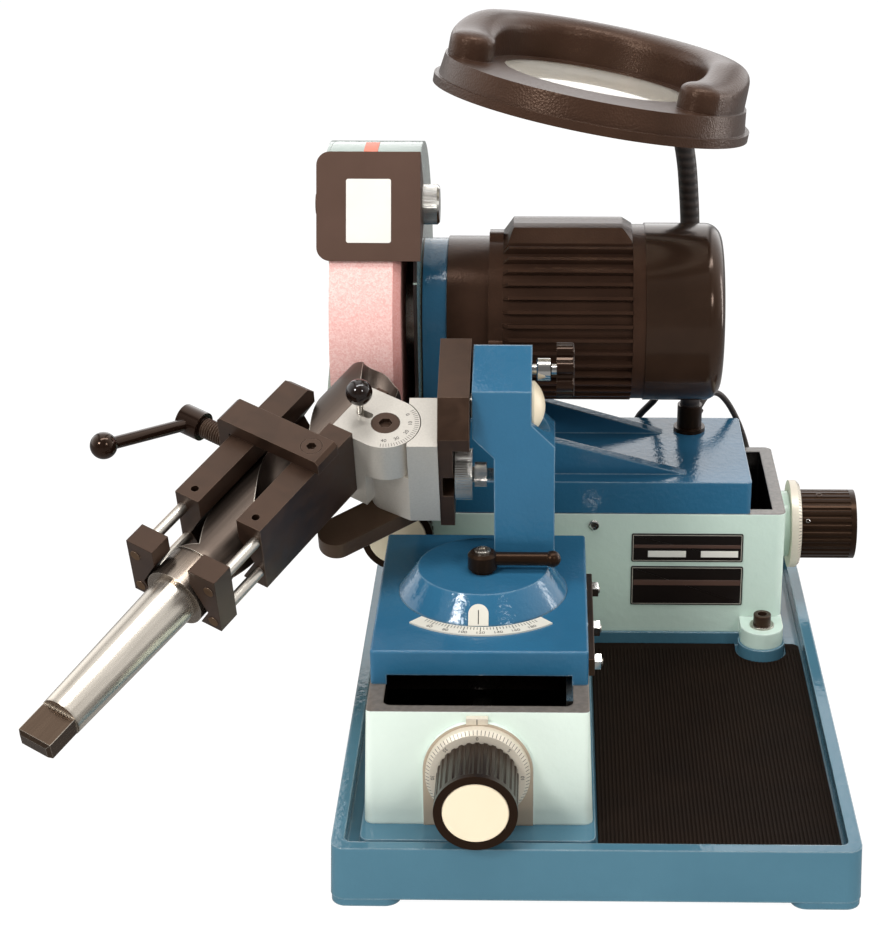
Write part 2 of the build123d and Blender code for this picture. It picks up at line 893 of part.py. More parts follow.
# Swing pivot: pin through the column, domed cover on its right end
with BuildPart() as swing_pin:
    with BuildSketch(across(arm_left)):
        with Locations((pivot_y, pivot_z)):
            Circle(pin_radius)
    extrude(amount=column_head_right - sliding - arm_left)
write(swing_pin, "swing_pin")

with BuildPart() as pivot_cover:
    with BuildSketch(Plane(origin=(column_head_right, pivot_y, pivot_z), x_dir=(1, 0, 0), z_dir=(0, -1, 0))):
        with BuildLine():
            TangentArc((cap_cover_height, 0), (cap_cover_rim, cap_cover_radius), tangent=(0, 1))
            Polyline((cap_cover_rim, cap_cover_radius), (0, cap_cover_radius), (0, 0), (cap_cover_height, 0))
        make_face()
    revolve(axis=Axis((column_head_right, pivot_y, pivot_z), (1, 0, 0)))
write(pivot_cover, "pivot_cover")

# Lock screw with chrome sleeve and star knob
with BuildPart() as lock_sleeve:
    with BuildSketch(across(column_head_right - lock_stem_depth)):
        with Locations((lock_y, lock_z)):
            Circle(lock_stem_radius)
    extrude(amount=lock_stem_depth + star_offset)
    with BuildSketch(across(column_head_right + sleeve_offset)):
        with Locations((lock_y, lock_z)):
            Circle(sleeve_radius)
    extrude(amount=sleeve_length)
    chamfer(lock_sleeve.edges().filter_by(GeomType.CIRCLE).filter_by(
        lambda e: e.radius == sleeve_radius), sleeve_radius / 10)
write(lock_sleeve, "lock_sleeve")

with BuildPart() as star_knob:
    with BuildSketch(across(column_head_right + star_offset)):
        with Locations((lock_y, lock_z)):
            Circle(star_core)
            with PolarLocations(star_core, star_lobes):
                Circle(star_lobe_radius)
    extrude(amount=star_length)
    fillet(star_knob.faces().sort_by(Axis.X)[-1].edges(), star_edge)
write(star_knob, "star_knob")

# Swing stop: stem, barrel, thumb wheel and cone turned in one piece
with BuildPart() as stop_screw:
    with BuildSketch(Plane(origin=(column_foot_left, stop_y, stop_z), x_dir=(-1, 0, 0), z_dir=(0, -1, 0))):
        outline([
            (-stop_stem_depth, 0),
            (-stop_stem_depth, stop_stem_radius),
            (stop_barrel_start, stop_stem_radius),
            (stop_barrel_start, stop_barrel_radius),
            (stop_barrel_end, stop_barrel_radius),
            (stop_barrel_end, stop_cone_radius),
            (thumb_start, stop_cone_radius),
            (thumb_start, thumb_radius),
            (thumb_end, thumb_radius),
            (thumb_end, stop_cone_radius),
            (stop_tip_end, stop_tip_radius),
            (stop_tip_end, 0),
        ])
    revolve(axis=Axis((0, stop_y, stop_z), (1, 0, 0)))
write(stop_screw, "stop_screw")

# Swing arm: thick head on the pivot, thin web below, slot for the stop's cone
with BuildPart() as swing_arm:
    with BuildSketch(swing_side(arm_left)):
        outline([
            (-arm_half_width, arm_bottom),
            (arm_half_width, arm_bottom),
            (arm_half_width, arm_top - arm_back_chamfer),
            (arm_half_width - arm_back_chamfer, arm_top),
            (arm_front_chamfer - arm_half_width, arm_top),
            (-arm_half_width, arm_top - arm_front_chamfer),
        ])
    extrude(amount=arm_thickness)
    with BuildSketch(swing_side(arm_left + arm_web)):
        with Locations((0, (arm_bottom + arm_step) / 2)):
            Rectangle(2 * arm_half_width, arm_step - arm_bottom)
    extrude(amount=arm_thickness, mode=Mode.SUBTRACT)
    with BuildSketch(swing_side(arm_left + slot_floor)):
        slot_height = slot_top - slot_bottom
        with Locations((slot_end - slot_height / 2, (slot_top + slot_bottom) / 2)):
            Circle(slot_height / 2)
        with Locations((slot_end - slot_height / 2 - arm_half_width, (slot_top + slot_bottom) / 2)):
            Rectangle(2 * arm_half_width, slot_height)
    extrude(amount=arm_thickness, mode=Mode.SUBTRACT)
    with BuildSketch(swing_side(arm_left)):
        Circle(pin_radius)
    extrude(amount=arm_thickness, mode=Mode.SUBTRACT)
write(swing_arm, "swing_arm")

# Angle bracket: upright on the arm, ledge under the swivel block, hollowed for the block's round end
swivel_point = swing.to_local_coords(holder.from_local_coords(Vector(swivel_a, swivel_b, 0)))
swivel_local = (swivel_point.X, swivel_point.Y)
block_under = ledge_top - tip_drop + sliding
with BuildPart() as angle_bracket:
    with BuildSketch(swing.offset(bracket_bottom)):
        with Locations(((bracket_left + arm_left) / 2, (bracket_front + bracket_back) / 2)):
            Rectangle(arm_left - bracket_left, bracket_back - bracket_front)
    extrude(amount=bracket_top - bracket_bottom)
    with BuildSketch(swing.offset(bracket_bottom)):
        with Locations(swivel_local):
            Circle(ledge_end_radius)
        with Locations((bracket_left + bracket_root / 2, (bracket_front + bracket_back) / 2)):
            Rectangle(bracket_root, bracket_back - bracket_front)
        make_hull()
    extrude(amount=ledge_top - bracket_bottom)
    with BuildSketch(swing.offset(ledge_top)):
        with Locations(swivel_local):
            Circle(block_radius + seat_room)
    extrude(amount=bracket_top - ledge_top, mode=Mode.SUBTRACT)
    with BuildSketch(swing.offset(ledge_top)):
        with Locations(swivel_local):
            Circle(swivel_stud_radius + running)
    extrude(amount=-swivel_stud_depth - free, mode=Mode.SUBTRACT)
write(angle_bracket, "angle_bracket")

# Handle bar under the bracket
with BuildPart() as swing_handle:
    with BuildSketch(swing.offset(bracket_bottom - handle_thickness)):
        with Locations(handle_root, handle_end):
            Circle(handle_width / 2)
        make_hull()
    extrude(amount=handle_thickness)
    fillet(swing_handle.faces().sort_by(Axis(swing.origin, swing.z_dir))[0].edges(), handle_thickness / 6)
write(swing_handle, "swing_handle")


def vee(vertex):
    """Corners of a V groove that opens towards the drill from the bar's inner face."""
    reach = (vertex - bar_inner) * tan(vee_half)
    return [(bar_inner, reach), (vertex, 0), (bar_inner, -reach)]


def on_left(points):
    """The same outline on the drill's left side."""
    return [(-b, z) for b, z in points]


right_vertex = (drill_radius + vee_room) / sin(vee_half)
left_vertex = (drill_radius + jaw_room) / sin(vee_half)
rod_places = [(rod_b, z) for z in rod_heights]
bridge_a = bridge_start + bridge_length / 2

# Right V-bar: full section behind the block, slim ridge that runs in the block's channel
ridge = [
    (bar_inner, ridge_top),
    *vee(right_vertex),
    (bar_inner, bar_bottom),
    (ridge_foot, bar_bottom),
    (ridge_outer, -ridge_flat),
    (ridge_outer, ridge_flat),
    (ridge_crest, ridge_top),
]
with BuildPart() as right_v_bar:
    with BuildSketch(holder_end(right_bar_start)):
        outline([(bar_inner, bar_top), *vee(right_vertex), (bar_inner, bar_bottom),
                 (bar_outer, bar_bottom), (bar_outer, bar_top)])
    extrude(amount=bar_end - right_bar_start)
    with BuildSketch(holder_end(ridge_start)):
        outline(ridge)
    extrude(amount=right_bar_start - ridge_start)
    with BuildSketch(holder_end(bar_end)):
        with Locations(*rod_places):
            Circle(rod_radius + running)
    extrude(amount=rod_hole_end - bar_end, mode=Mode.SUBTRACT)
    with BuildSketch(holder.offset(bar_top)):
        with Locations((bridge_a, set_screw_b)):
            Circle(bridge_screw_radius)
    extrude(amount=-bridge_screw_depth, mode=Mode.SUBTRACT)
    with BuildSketch(holder.offset(bar_top)):
        with Locations((set_screw_a, set_screw_b)):
            Circle(set_screw_radius)
    extrude(amount=-set_screw_depth, mode=Mode.SUBTRACT)
write(right_v_bar, "right_v_bar")

# Left V-bar: the jaw that the clamp pushes
left_top = bar_top - left_bar_drop
with BuildPart() as left_v_bar:
    with BuildSketch(holder_end(left_bar_start)):
        outline(on_left([(bar_inner, left_top), *vee(left_vertex), (bar_inner, bar_bottom),
                         (bar_outer, bar_bottom), (bar_outer, left_top)]))
    extrude(amount=bar_end - left_bar_start)
    with BuildSketch(holder_side(0)):
        outline([(left_bar_start, left_top), (left_bar_start + left_bar_chamfer, left_top),
                 (left_bar_start, left_top - left_bar_chamfer)])
    extrude(amount=2 * bar_outer, mode=Mode.SUBTRACT)
    with BuildSketch(holder_end(bar_end)):
        with Locations(*on_left(rod_places)):
            Circle(rod_radius + running)
    extrude(amount=rod_hole_end - bar_end, mode=Mode.SUBTRACT)
    with BuildSketch(holder_side(-bar_outer + spindle_depth + free)):
        with Locations((bridge_a, spindle_height)):
            Circle(spindle_radius + running)
    extrude(amount=spindle_depth + 2 * free, mode=Mode.SUBTRACT)
    with BuildSketch(holder.offset(left_top)):
        with Locations((set_screw_a, -set_screw_b)):
            Circle(set_screw_radius)
    extrude(amount=-set_screw_depth, mode=Mode.SUBTRACT)
write(left_v_bar, "left_v_bar")

# Swivel block: round end on the ledge, channel for the ridge, lip over it and a leg below it
channel = [
    (bar_inner - block_radius, ridge_top + free),
    (ridge_crest + free, ridge_top + free),
    (ridge_outer + free, ridge_flat + free),
    (ridge_outer + free, -ridge_flat - free),
    (ridge_foot + free, bar_bottom - free),
    (block_leg_left, channel_foot),
    (bar_inner - block_radius, channel_foot),
]
block_face = swivel_a + block_radius
with BuildPart() as swivel_block:
    with BuildSketch(holder.offset(block_under)):
        with Locations((swivel_a, swivel_b)):
            Circle(block_radius)
        with Locations((swivel_a, (block_left + swivel_b) / 2)):
            Rectangle(2 * block_radius, swivel_b - block_left)
    extrude(amount=block_top - block_under)
    with BuildSketch(holder_end(block_face - block_leg_length)):
        with Locations(((block_leg_left + block_leg_right) / 2, (block_under + block_leg_bottom) / 2)):
            Rectangle(block_leg_right - block_leg_left, block_under - block_leg_bottom)
    extrude(amount=block_leg_length)
    with BuildSketch(holder_end(swivel_a - 2 * block_radius)):
        outline(channel)
    extrude(amount=4 * block_radius, mode=Mode.SUBTRACT)
    with BuildSketch(holder.offset(block_top)):
        with Locations((swivel_a, swivel_b)):
            Circle(swivel_stud_radius + running)
    extrude(amount=block_under - block_top, mode=Mode.SUBTRACT)
    with BuildSketch(holder.offset(block_top)):
        with Locations((swivel_a, swivel_b)):
            Circle(swivel_head_radius + free)
    extrude(amount=-swivel_head_height, mode=Mode.SUBTRACT)
    with BuildSketch(holder.offset(block_top)):
        with Locations((swivel_a, pin_slot_start), (swivel_a, pin_slot_end)):
            Circle(pin_stem_radius + running)
        with Locations((swivel_a, (pin_slot_start + pin_slot_end) / 2)):
            Rectangle(2 * pin_stem_radius + 2 * running, pin_slot_end - pin_slot_start)
    extrude(amount=-pin_slot_depth, mode=Mode.SUBTRACT)
write(swivel_block, "swivel_block")

# Swivel screw through the block into the ledge
swivel_seat = block_top - swivel_head_height
with BuildPart() as swivel_screw:
    with BuildSketch(holder.offset(swivel_seat)):
        with Locations((swivel_a, swivel_b)):
            Circle(swivel_head_radius)
            RegularPolygon(swivel_head_radius / 2, 6, mode=Mode.SUBTRACT)
    extrude(amount=swivel_head_height)
    with BuildSketch(holder.offset(swivel_seat)):
        with Locations((swivel_a, swivel_b)):
            Circle(swivel_head_radius)
    extrude(amount=swivel_head_height / 3)
    with BuildSketch(holder.offset(block_under - sliding - swivel_stud_depth)):
        with Locations((swivel_a, swivel_b)):
            Circle(swivel_stud_radius)
    extrude(amount=swivel_seat - block_under + sliding + swivel_stud_depth)
write(swivel_screw, "swivel_screw")

# Index pin with its ball, sliding in the block's slot
with BuildPart() as index_pin:
    with BuildSketch(holder.offset(block_top - pin_slot_depth + running)):
        with Locations((swivel_a, pin_slot_start)):
            Circle(pin_stem_radius)
    extrude(amount=pin_slot_depth + pin_stem_height)
    ball_z = block_top + pin_stem_height + pin_ball_radius / 2
    with Locations(holder * Location((swivel_a, pin_slot_start, ball_z))):
        Sphere(pin_ball_radius)
write(index_pin, "index_pin")

# Clamp bridge: cap over both bars with a leg that carries the clamp spindle
bridge_seat = bar_top + bridge_thickness - bridge_head_height
with BuildPart() as clamp_bridge:
    with BuildSketch(holder_end(bridge_start)):
        with Locations(((bridge_leg_outer + bridge_right) / 2, bar_top + bridge_thickness / 2)):
            Rectangle(bridge_right - bridge_leg_outer, bridge_thickness)
        with Locations((bridge_leg_outer + bridge_leg_thickness / 2, (bridge_leg_bottom + bar_top) / 2)):
            Rectangle(bridge_leg_thickness, bar_top - bridge_leg_bottom)
    extrude(amount=bridge_length)
    chamfer(clamp_bridge.edges().filter_by(Axis(holder.origin, holder.x_dir)).sort_by(
        Axis(holder.origin, holder.z_dir))[-2:], bridge_thickness / 4)
    with BuildSketch(holder.offset(bar_top)):
        with Locations((bridge_a, set_screw_b)):
            Circle(bridge_screw_radius)
    extrude(amount=bridge_thickness, mode=Mode.SUBTRACT)
    with BuildSketch(holder.offset(bridge_seat)):
        with Locations((bridge_a, set_screw_b)):
            Circle(bridge_head_radius + free)
    extrude(amount=bridge_head_height, mode=Mode.SUBTRACT)
    with BuildSketch(holder_side(bridge_leg_outer + bridge_leg_thickness)):
        with Locations((bridge_a, spindle_height)):
            Circle(spindle_radius + running)
    extrude(amount=bridge_leg_thickness, mode=Mode.SUBTRACT)
write(clamp_bridge, "clamp_bridge")

with BuildPart() as bridge_screw:
    with BuildSketch(holder.offset(bridge_seat)):
        with Locations((bridge_a, set_screw_b)):
            Circle(bridge_head_radius)
            RegularPolygon(bridge_head_radius / 2, 6, mode=Mode.SUBTRACT)
    extrude(amount=bridge_head_height)
    with BuildSketch(holder.offset(bar_top - bridge_screw_depth)):
        with Locations((bridge_a, set_screw_b)):
            Circle(bridge_screw_radius)
    extrude(amount=bridge_screw_depth + bridge_seat - bar_top)
    with BuildSketch(holder.offset(bridge_seat)):
        with Locations((bridge_a, set_screw_b)):
            Circle(bridge_head_radius)
    extrude(amount=bridge_head_height / 3)
write(bridge_screw, "bridge_screw")

# Clamp spindle with its lever and ball
spindle_tip = -bar_outer + spindle_depth
arm_root = holder.from_local_coords(Vector(bridge_a, hub_start - hub_length / 2, spindle_height))
arm_ball = holder.from_local_coords(Vector(*clamp_ball))
arm_line = arm_ball - arm_root
with BuildPart() as clamp_lever:
    with BuildSketch(holder_side(spindle_tip)):
        with Locations((bridge_a, spindle_height)):
            Circle(spindle_radius)
    extrude(amount=spindle_tip - hub_start)
    with BuildSketch(holder_side(hub_start)):
        with Locations((bridge_a, spindle_height)):
            Circle(hub_radius)
    extrude(amount=hub_length)
    with BuildSketch(Plane(origin=arm_root, z_dir=arm_line.normalized())):
        Circle(clamp_arm_radius)
    extrude(amount=arm_line.length)
    with Locations(Location(arm_ball)):
        Sphere(clamp_ball_radius)
write(clamp_lever, "clamp_lever")


def stop_pieces(side, name):
    """End stop on two rods behind one bar; side is 1 on the right and -1 on the left."""
    vertex = (drill_radius + jaw_room) / sin(vee_half)
    reach = (vertex - stop_block_inner) * tan(vee_half)
    section = [
        (stop_block_inner, stop_block_top),
        (stop_block_inner, reach),
        (vertex, 0),
        (vertex - (stop_block_bottom / -tan(vee_half)), stop_block_bottom),
        (stop_block_outer, stop_block_bottom),
        (stop_block_outer, stop_block_top),
    ]
    with BuildPart() as end_stop:
        with BuildSketch(holder_end(stop_block_start)):
            outline([(side * b, z) for b, z in section])
        extrude(amount=stop_block_length)
        with BuildSketch(holder_end(rod_inner_end)):
            with Locations(*[(side * b, z) for b, z in rod_places]):
                Circle(rod_radius)
        extrude(amount=stop_block_start + stop_block_length + rod_proud - rod_inner_end)
    write(end_stop, name)


stop_pieces(1, "right_stop")
stop_pieces(-1, "left_stop")

# Twist drill: two helical flutes, ground point, neck, taper shank and tang
point_length = drill_radius / tan(radians(point_angle / 2))
drill_axis = Axis(holder.origin, holder.x_dir)
flute_path = Helix(pitch=flute_lead, height=flute_end, radius=flute_cut_centre, lefthand=True)
with BuildPart() as flute_cut:
    with BuildSketch(Plane(origin=flute_path @ 0, z_dir=flute_path % 0)):
        Circle(flute_cut_radius)
    sweep(path=flute_path, is_frenet=True)
with BuildPart() as drill_bit:
    with BuildSketch(holder_side(0)):
        outline([
            (drill_back, 0),
            (drill_back + point_length, drill_radius),
            (flute_end, drill_radius),
            (flute_end, neck_diameter / 2),
            (neck_end, neck_diameter / 2),
            (neck_end, shank_diameter / 2),
            (shank_end, shank_end_diameter / 2),
            (shank_end, 0),
        ])
    revolve(axis=drill_axis)
    with BuildSketch(holder_end(shank_end)):
        Circle(shank_end_diameter / 2)
        Rectangle(tang_width, tang_thickness, mode=Mode.INTERSECT)
    extrude(amount=tang_length)
    chamfer(drill_bit.faces().sort_by(drill_axis)[-1].edges(), tang_edge)
    for turn_angle in (flute_phase, flute_phase + 180):
        add(holder_end(0) * (Rot(0, 0, turn_angle) * flute_cut.part), mode=Mode.SUBTRACT)
write(drill_bit, "drill_bit")

# Rear base: box casting with a trough that runs out at its left end, three screw lugs and the feed boss
rear_middle = ((rear_left + rear_right) / 2, (rear_front + rear_back) / 2)
rear_ledge_under = rear_top - rear_ledge
rear_trough_right = rear_right - rear_end_wall
rear_trough_x = (rear_left + rear_trough_right) / 2
rear_trough_length = rear_trough_right - rear_left
rear_trough_width = rear_back - rear_front - 2 * rear_wall
with BuildPart() as rear_slide_base:
    with BuildSketch(Plane.XY.offset(rear_pad_top)):
        with Locations(rear_middle):
            RectangleRounded(rear_right - rear_left, rear_back - rear_front, rear_corner)
    extrude(amount=rear_height)
    with BuildSketch(Plane.XY.offset(rear_pad_top)):
        for lug_x, lug_y in lug_centres:
            with Locations((lug_x, lug_y)):
                Circle(lug_radius)
            with Locations((lug_x, (lug_y + rear_middle[1]) / 2)):
                Rectangle(2 * lug_radius, abs(lug_y - rear_middle[1]))
    extrude(amount=lug_height)
    with BuildSketch(Plane.XY.offset(rear_pad_top + rear_floor)):
        with Locations((rear_trough_x, rear_middle[1])):
            Rectangle(rear_trough_length, rear_trough_width + 2 * rear_undercut)
    extrude(amount=rear_ledge_under - rear_pad_top - rear_floor, mode=Mode.SUBTRACT)
    with BuildSketch(Plane.XY.offset(rear_ledge_under)):
        with Locations((rear_trough_x, rear_middle[1])):
            Rectangle(rear_trough_length, rear_trough_width)
    extrude(amount=rear_ledge, mode=Mode.SUBTRACT)
    with BuildSketch(across(rear_trough_right)):
        with Locations((rear_feed_y, rear_feed_z)):
            Circle(rear_boss_radius)
    extrude(amount=rear_boss_face - rear_trough_right)
    with BuildSketch(across(rear_trough_right)):
        with Locations((rear_feed_y, rear_feed_z)):
            Circle(screw_radius + running)
    extrude(amount=rear_boss_face - rear_trough_right, mode=Mode.SUBTRACT)
    with BuildSketch(Plane.XY.offset(rear_pad_top + lug_height)):
        with Locations(*lug_centres):
            Circle(base_screw_radius)
    extrude(amount=-base_screw_depth, mode=Mode.SUBTRACT)
    with BuildSketch(facing(rear_front + rear_wall)):
        with Locations((lock_knob_x, lock_knob_z)):
            Circle(lock_screw_radius + running)
    extrude(amount=rear_wall, mode=Mode.SUBTRACT)
write(rear_slide_base, "rear_slide_base")

# Lock knob on the rear base's front face, with its cap
lock_plane = Plane(origin=(lock_knob_x, rear_front - sliding, lock_knob_z), x_dir=(1, 0, 0), z_dir=(0, -1, 0))
lock_reach = rear_wall - rear_undercut - 2 * sliding
with BuildPart() as carriage_lock:
    add(knob_solid(lock_plane, lock_knob_radius, lock_knob_length, lock_knob_cap, lock_knob_cap_height,
                   knob_flutes, lock_screw_radius / 2, running).part)
    with BuildSketch(lock_plane.offset(-lock_reach)):
        Circle(lock_screw_radius)
    extrude(amount=lock_reach + lock_knob_length / 2)
write(carriage_lock, "carriage_lock")
lock_cap_plane = lock_plane.offset(lock_knob_length - lock_knob_cap_height)
write(cap_solid(lock_cap_plane, lock_knob_cap, lock_knob_cap_height), "carriage_lock_cap")

# Elbow glands on the back wall, where the two leads go in
with BuildPart() as cable_glands:
    with BuildSketch(Plane.XY.offset(gland_top - gland_height)):
        with Locations(*[(x, rear_back + gland_depth / 2) for x in gland_xs]):
            Rectangle(gland_width, gland_depth)
    extrude(amount=gland_height)
    chamfer(cable_glands.edges().group_by(Axis.Z)[0].group_by(Axis.Y)[-1], gland_depth / 2)
write(cable_glands, "cable_glands")

# Motor carriage: slab with a hooked tongue, feed nut, upright ring for the motor and two ribs
tongue_half = rear_trough_width / 2 - sliding
tongue_under = rear_top - carriage_tongue
tongue_middle = (carriage_tongue_left + carriage_tongue_right) / 2
tongue_length = carriage_tongue_right - carriage_tongue_left
upright_right = carriage_left + upright_thickness
with BuildPart() as motor_carriage:
    with BuildSketch(Plane.XY.offset(rear_top)):
        with Locations(((carriage_left + carriage_right) / 2, (carriage_front + carriage_back) / 2)):
            RectangleRounded(carriage_right - carriage_left, carriage_back - carriage_front, carriage_edge)
    extrude(amount=carriage_thickness)
    with BuildSketch(Plane.XY.offset(tongue_under)):
        with Locations((tongue_middle, rear_middle[1])):
            Rectangle(tongue_length, 2 * tongue_half)
    extrude(amount=carriage_tongue)
    with BuildSketch(Plane.XY.offset(tongue_under)):
        with Locations((tongue_middle, rear_middle[1])):
            Rectangle(tongue_length, 2 * (tongue_half + hook_reach))
    extrude(amount=rear_ledge_under - sliding - tongue_under)
    with BuildSketch(across(rear_nut_start)):
        nut_foot = rear_feed_z - nut_drop
        with Locations((rear_feed_y, (nut_foot + tongue_under) / 2)):
            Rectangle(nut_width, tongue_under - nut_foot)
        with Locations((rear_feed_y, rear_feed_z)):
            Circle(screw_radius + running, mode=Mode.SUBTRACT)
    extrude(amount=nut_length)
    with BuildSketch(across(carriage_left)):
        with Locations((axis_y, axis_z)):
            Circle(upright_radius)
        with Locations((axis_y, carriage_top - carriage_edge / 2)):
            Rectangle(upright_foot, carriage_edge)
        make_hull()
    extrude(amount=upright_thickness)
    with BuildSketch(axle(carriage_left)):
        Circle(bearing_radius)
    extrude(amount=upright_thickness, mode=Mode.SUBTRACT)
    with BuildSketch(axle(upright_right)):
        Circle(motor_spigot_radius + running)
    extrude(amount=-motor_spigot - free, mode=Mode.SUBTRACT)
    for rib_y, rib_end in ((rib_front_y, rib_front_end), (rib_back_y, rib_back_end)):
        with BuildSketch(facing(rib_y + rib_thickness / 2)):
            outline([(upright_right, carriage_top), (rib_end, carriage_top),
                     (upright_right, carriage_top + rib_height)])
        extrude(amount=rib_thickness)
write(motor_carriage, "motor_carriage")

# Rear feed: screw through the right wall, dial, knob and cap
rear_feed = Plane(origin=(rear_boss_face, rear_feed_y, rear_feed_z), x_dir=(0, 1, 0), z_dir=(1, 0, 0))
rear_screw_back = rear_boss_face - rear_nut_start + screw_overrun
feed_pieces(rear_feed, rear_screw_back, rear_boss_face - rear_trough_right, "rear")

# Motor front shield: neck on the upright, lug ring against the finned body, bearing pocket inside
front_pocket = lug_ring_right - bearing_width - pocket_room
with BuildPart() as motor_front_shield:
    with BuildSketch(axle(upright_right)):
        Circle(neck_radius)
    extrude(amount=neck_right - upright_right)
    with BuildSketch(axle(upright_right - motor_spigot)):
        Circle(motor_spigot_radius)
    extrude(amount=motor_spigot)
    with BuildSketch(axle(neck_right)):
        Circle(lug_ring_radius)
        with PolarLocations(lug_ring_radius - lug_ring_lug / 2, 4, start_angle=lug_ring_turn):
            Circle(lug_ring_lug)
    extrude(amount=lug_ring_right - neck_right)
    with BuildSketch(axle(front_pocket)):
        Circle(bearing_radius)
    extrude(amount=lug_ring_right - front_pocket, mode=Mode.SUBTRACT)
    with BuildSketch(axle(upright_right - motor_spigot)):
        Circle(shaft_radius + 2 * free)
    extrude(amount=front_pocket - upright_right + motor_spigot, mode=Mode.SUBTRACT)
write(motor_front_shield, "motor_front_shield")

# Finned motor body with its flat pad on top, bored for the rotor
with BuildPart() as motor_body:
    with BuildSketch(axle(lug_ring_right)):
        Circle(body_radius)
        with PolarLocations(body_radius, fin_count):
            Rectangle(2 * (fin_radius - body_radius), fin_thickness)
        outline([(-fin_pad_half, 0), (-fin_pad_half, body_radius), (-fin_pad_half / 2, fin_pad_top),
                 (fin_pad_half / 2, fin_pad_top), (fin_pad_half, body_radius), (fin_pad_half, 0)])
    extrude(amount=body_right - lug_ring_right)
    with BuildSketch(Plane(origin=(0, axis_y, axis_z), x_dir=(1, 0, 0), z_dir=(0, -1, 0))):
        outline([
            (lug_ring_right, bore_radius),
            (lug_ring_right, body_radius),
            (lug_ring_right + fin_run, fin_pad_top + free),
            (body_right - fin_run, fin_pad_top + free),
            (body_right, fin_radius - running),
            (body_right, bore_radius),
        ])
    revolve(axis=Axis((0, axis_y, axis_z), (1, 0, 0)), mode=Mode.INTERSECT)
write(motor_body, "motor_body")

# Rear end shield with its bearing pocket
rear_pocket = rear_shield_right - pocket_wall
with BuildPart() as motor_rear_shield:
    with BuildSketch(axle(body_right)):
        Circle(rear_shield_radius)
        Circle(shaft_radius + 2 * free, mode=Mode.SUBTRACT)
    extrude(amount=rear_shield_right - body_right)
    with BuildSketch(axle(body_right)):
        Circle(bearing_radius)
    extrude(amount=rear_pocket - body_right, mode=Mode.SUBTRACT)
write(motor_rear_shield, "motor_rear_shield")

# Fan cowl: thin drum with a rounded end and radial air slots, and a grommet for the motor's lead
with BuildPart() as cowl_hollow:
    with BuildSketch(axle(rear_shield_right)):
        Circle(cowl_radius - cowl_sheet)
    extrude(amount=cowl_right - cowl_sheet - rear_shield_right)
    fillet(cowl_hollow.faces().sort_by(Axis.X)[-1].edges(), cowl_round - cowl_sheet)
gland_line = Vector(0, cos(radians(cord_gland_angle)), sin(radians(cord_gland_angle)))
gland_foot = Vector(cord_gland_x, axis_y, axis_z) + gland_line * (cowl_radius - cowl_sheet)
with BuildPart() as fan_cowl:
    with BuildSketch(axle(rear_shield_right)):
        Circle(cowl_radius)
    extrude(amount=cowl_right - rear_shield_right)
    fillet(fan_cowl.faces().sort_by(Axis.X)[-1].edges(), cowl_round)
    with BuildSketch(Plane(origin=gland_foot, z_dir=gland_line)):
        Circle(cord_gland_radius)
    extrude(amount=cord_gland_length)
    add(cowl_hollow.part, mode=Mode.SUBTRACT)
    with BuildSketch(axle(cowl_right - 2 * cowl_sheet)):
        with PolarLocations((slot_inner + slot_outer) / 2, cowl_slots):
            SlotOverall(slot_outer - slot_inner, slot_width)
    extrude(amount=4 * cowl_sheet, mode=Mode.SUBTRACT)
write(fan_cowl, "fan_cowl")

# Rotor on its long shaft, which carries the wheel on the left and the fan on the right
nut_left = wheel_left + wheel_recess - flange_thickness - nut_height
fan_end = fan_start + fan_depth
with BuildPart() as motor_rotor:
    with BuildSketch(axle(nut_left)):
        Circle(shaft_radius)
    extrude(amount=fan_end - nut_left)
    with BuildSketch(axle(lug_ring_right + rotor_inset)):
        Circle(rotor_radius)
    extrude(amount=body_right - lug_ring_right - 2 * rotor_inset)
write(motor_rotor, "motor_rotor")

with BuildPart() as motor_bearings:
    for bearing_left in (front_pocket, rear_pocket - bearing_width):
        with BuildSketch(axle(bearing_left)):
            Circle(bearing_radius)
            Circle(shaft_radius + running, mode=Mode.SUBTRACT)
        extrude(amount=bearing_width)
write(motor_bearings, "motor_bearings")

with BuildPart() as motor_fan:
    with BuildSketch(axle(fan_start)):
        Circle(fan_radius)
    extrude(amount=fan_plate)
    with BuildSketch(axle(fan_start + fan_plate)):
        Circle(fan_hub_radius)
        with PolarLocations(blade_outer / 2, fan_blades):
            Rectangle(blade_outer, blade_thickness)
    extrude(amount=fan_depth - fan_plate)
    with BuildSketch(axle(fan_start)):
        Circle(shaft_radius + running)
    extrude(amount=fan_depth, mode=Mode.SUBTRACT)
write(motor_fan, "motor_fan")

# Grinding wheel with its recess, and the flanges and nut that hold it
recess_floor = wheel_left + wheel_recess
with BuildPart() as grinding_wheel:
    with BuildSketch(axle(wheel_left)):
        Circle(wheel_radius)
        Circle(2 * shaft_radius + running, mode=Mode.SUBTRACT)
    extrude(amount=wheel_right - wheel_left)
    chamfer(grinding_wheel.faces().sort_by(Axis.X)[-1].edges().sort_by(SortBy.LENGTH)[-1], wheel_bevel)
    with BuildSketch(axle(wheel_left)):
        Circle(wheel_recess_radius)
    extrude(amount=wheel_recess, mode=Mode.SUBTRACT)
write(grinding_wheel, "grinding_wheel")

with BuildPart() as wheel_flanges:
    with BuildSketch(axle(wheel_right)):
        Circle(flange_radius)
    extrude(amount=flange_thickness)
    with BuildSketch(axle(recess_floor + sliding)):
        Circle(2 * shaft_radius)
    extrude(amount=wheel_right - recess_floor - sliding)
    with BuildSketch(axle(recess_floor - flange_thickness)):
        Circle(flange_radius)
    extrude(amount=flange_thickness)
    with BuildSketch(axle(nut_left)):
        RegularPolygon(nut_radius, 6)
    extrude(amount=nut_height - sliding)
    with BuildSketch(axle(nut_left)):
        Circle(shaft_radius + running)
    extrude(amount=wheel_right + flange_thickness - nut_left, mode=Mode.SUBTRACT)
write(wheel_flanges, "wheel_flanges")

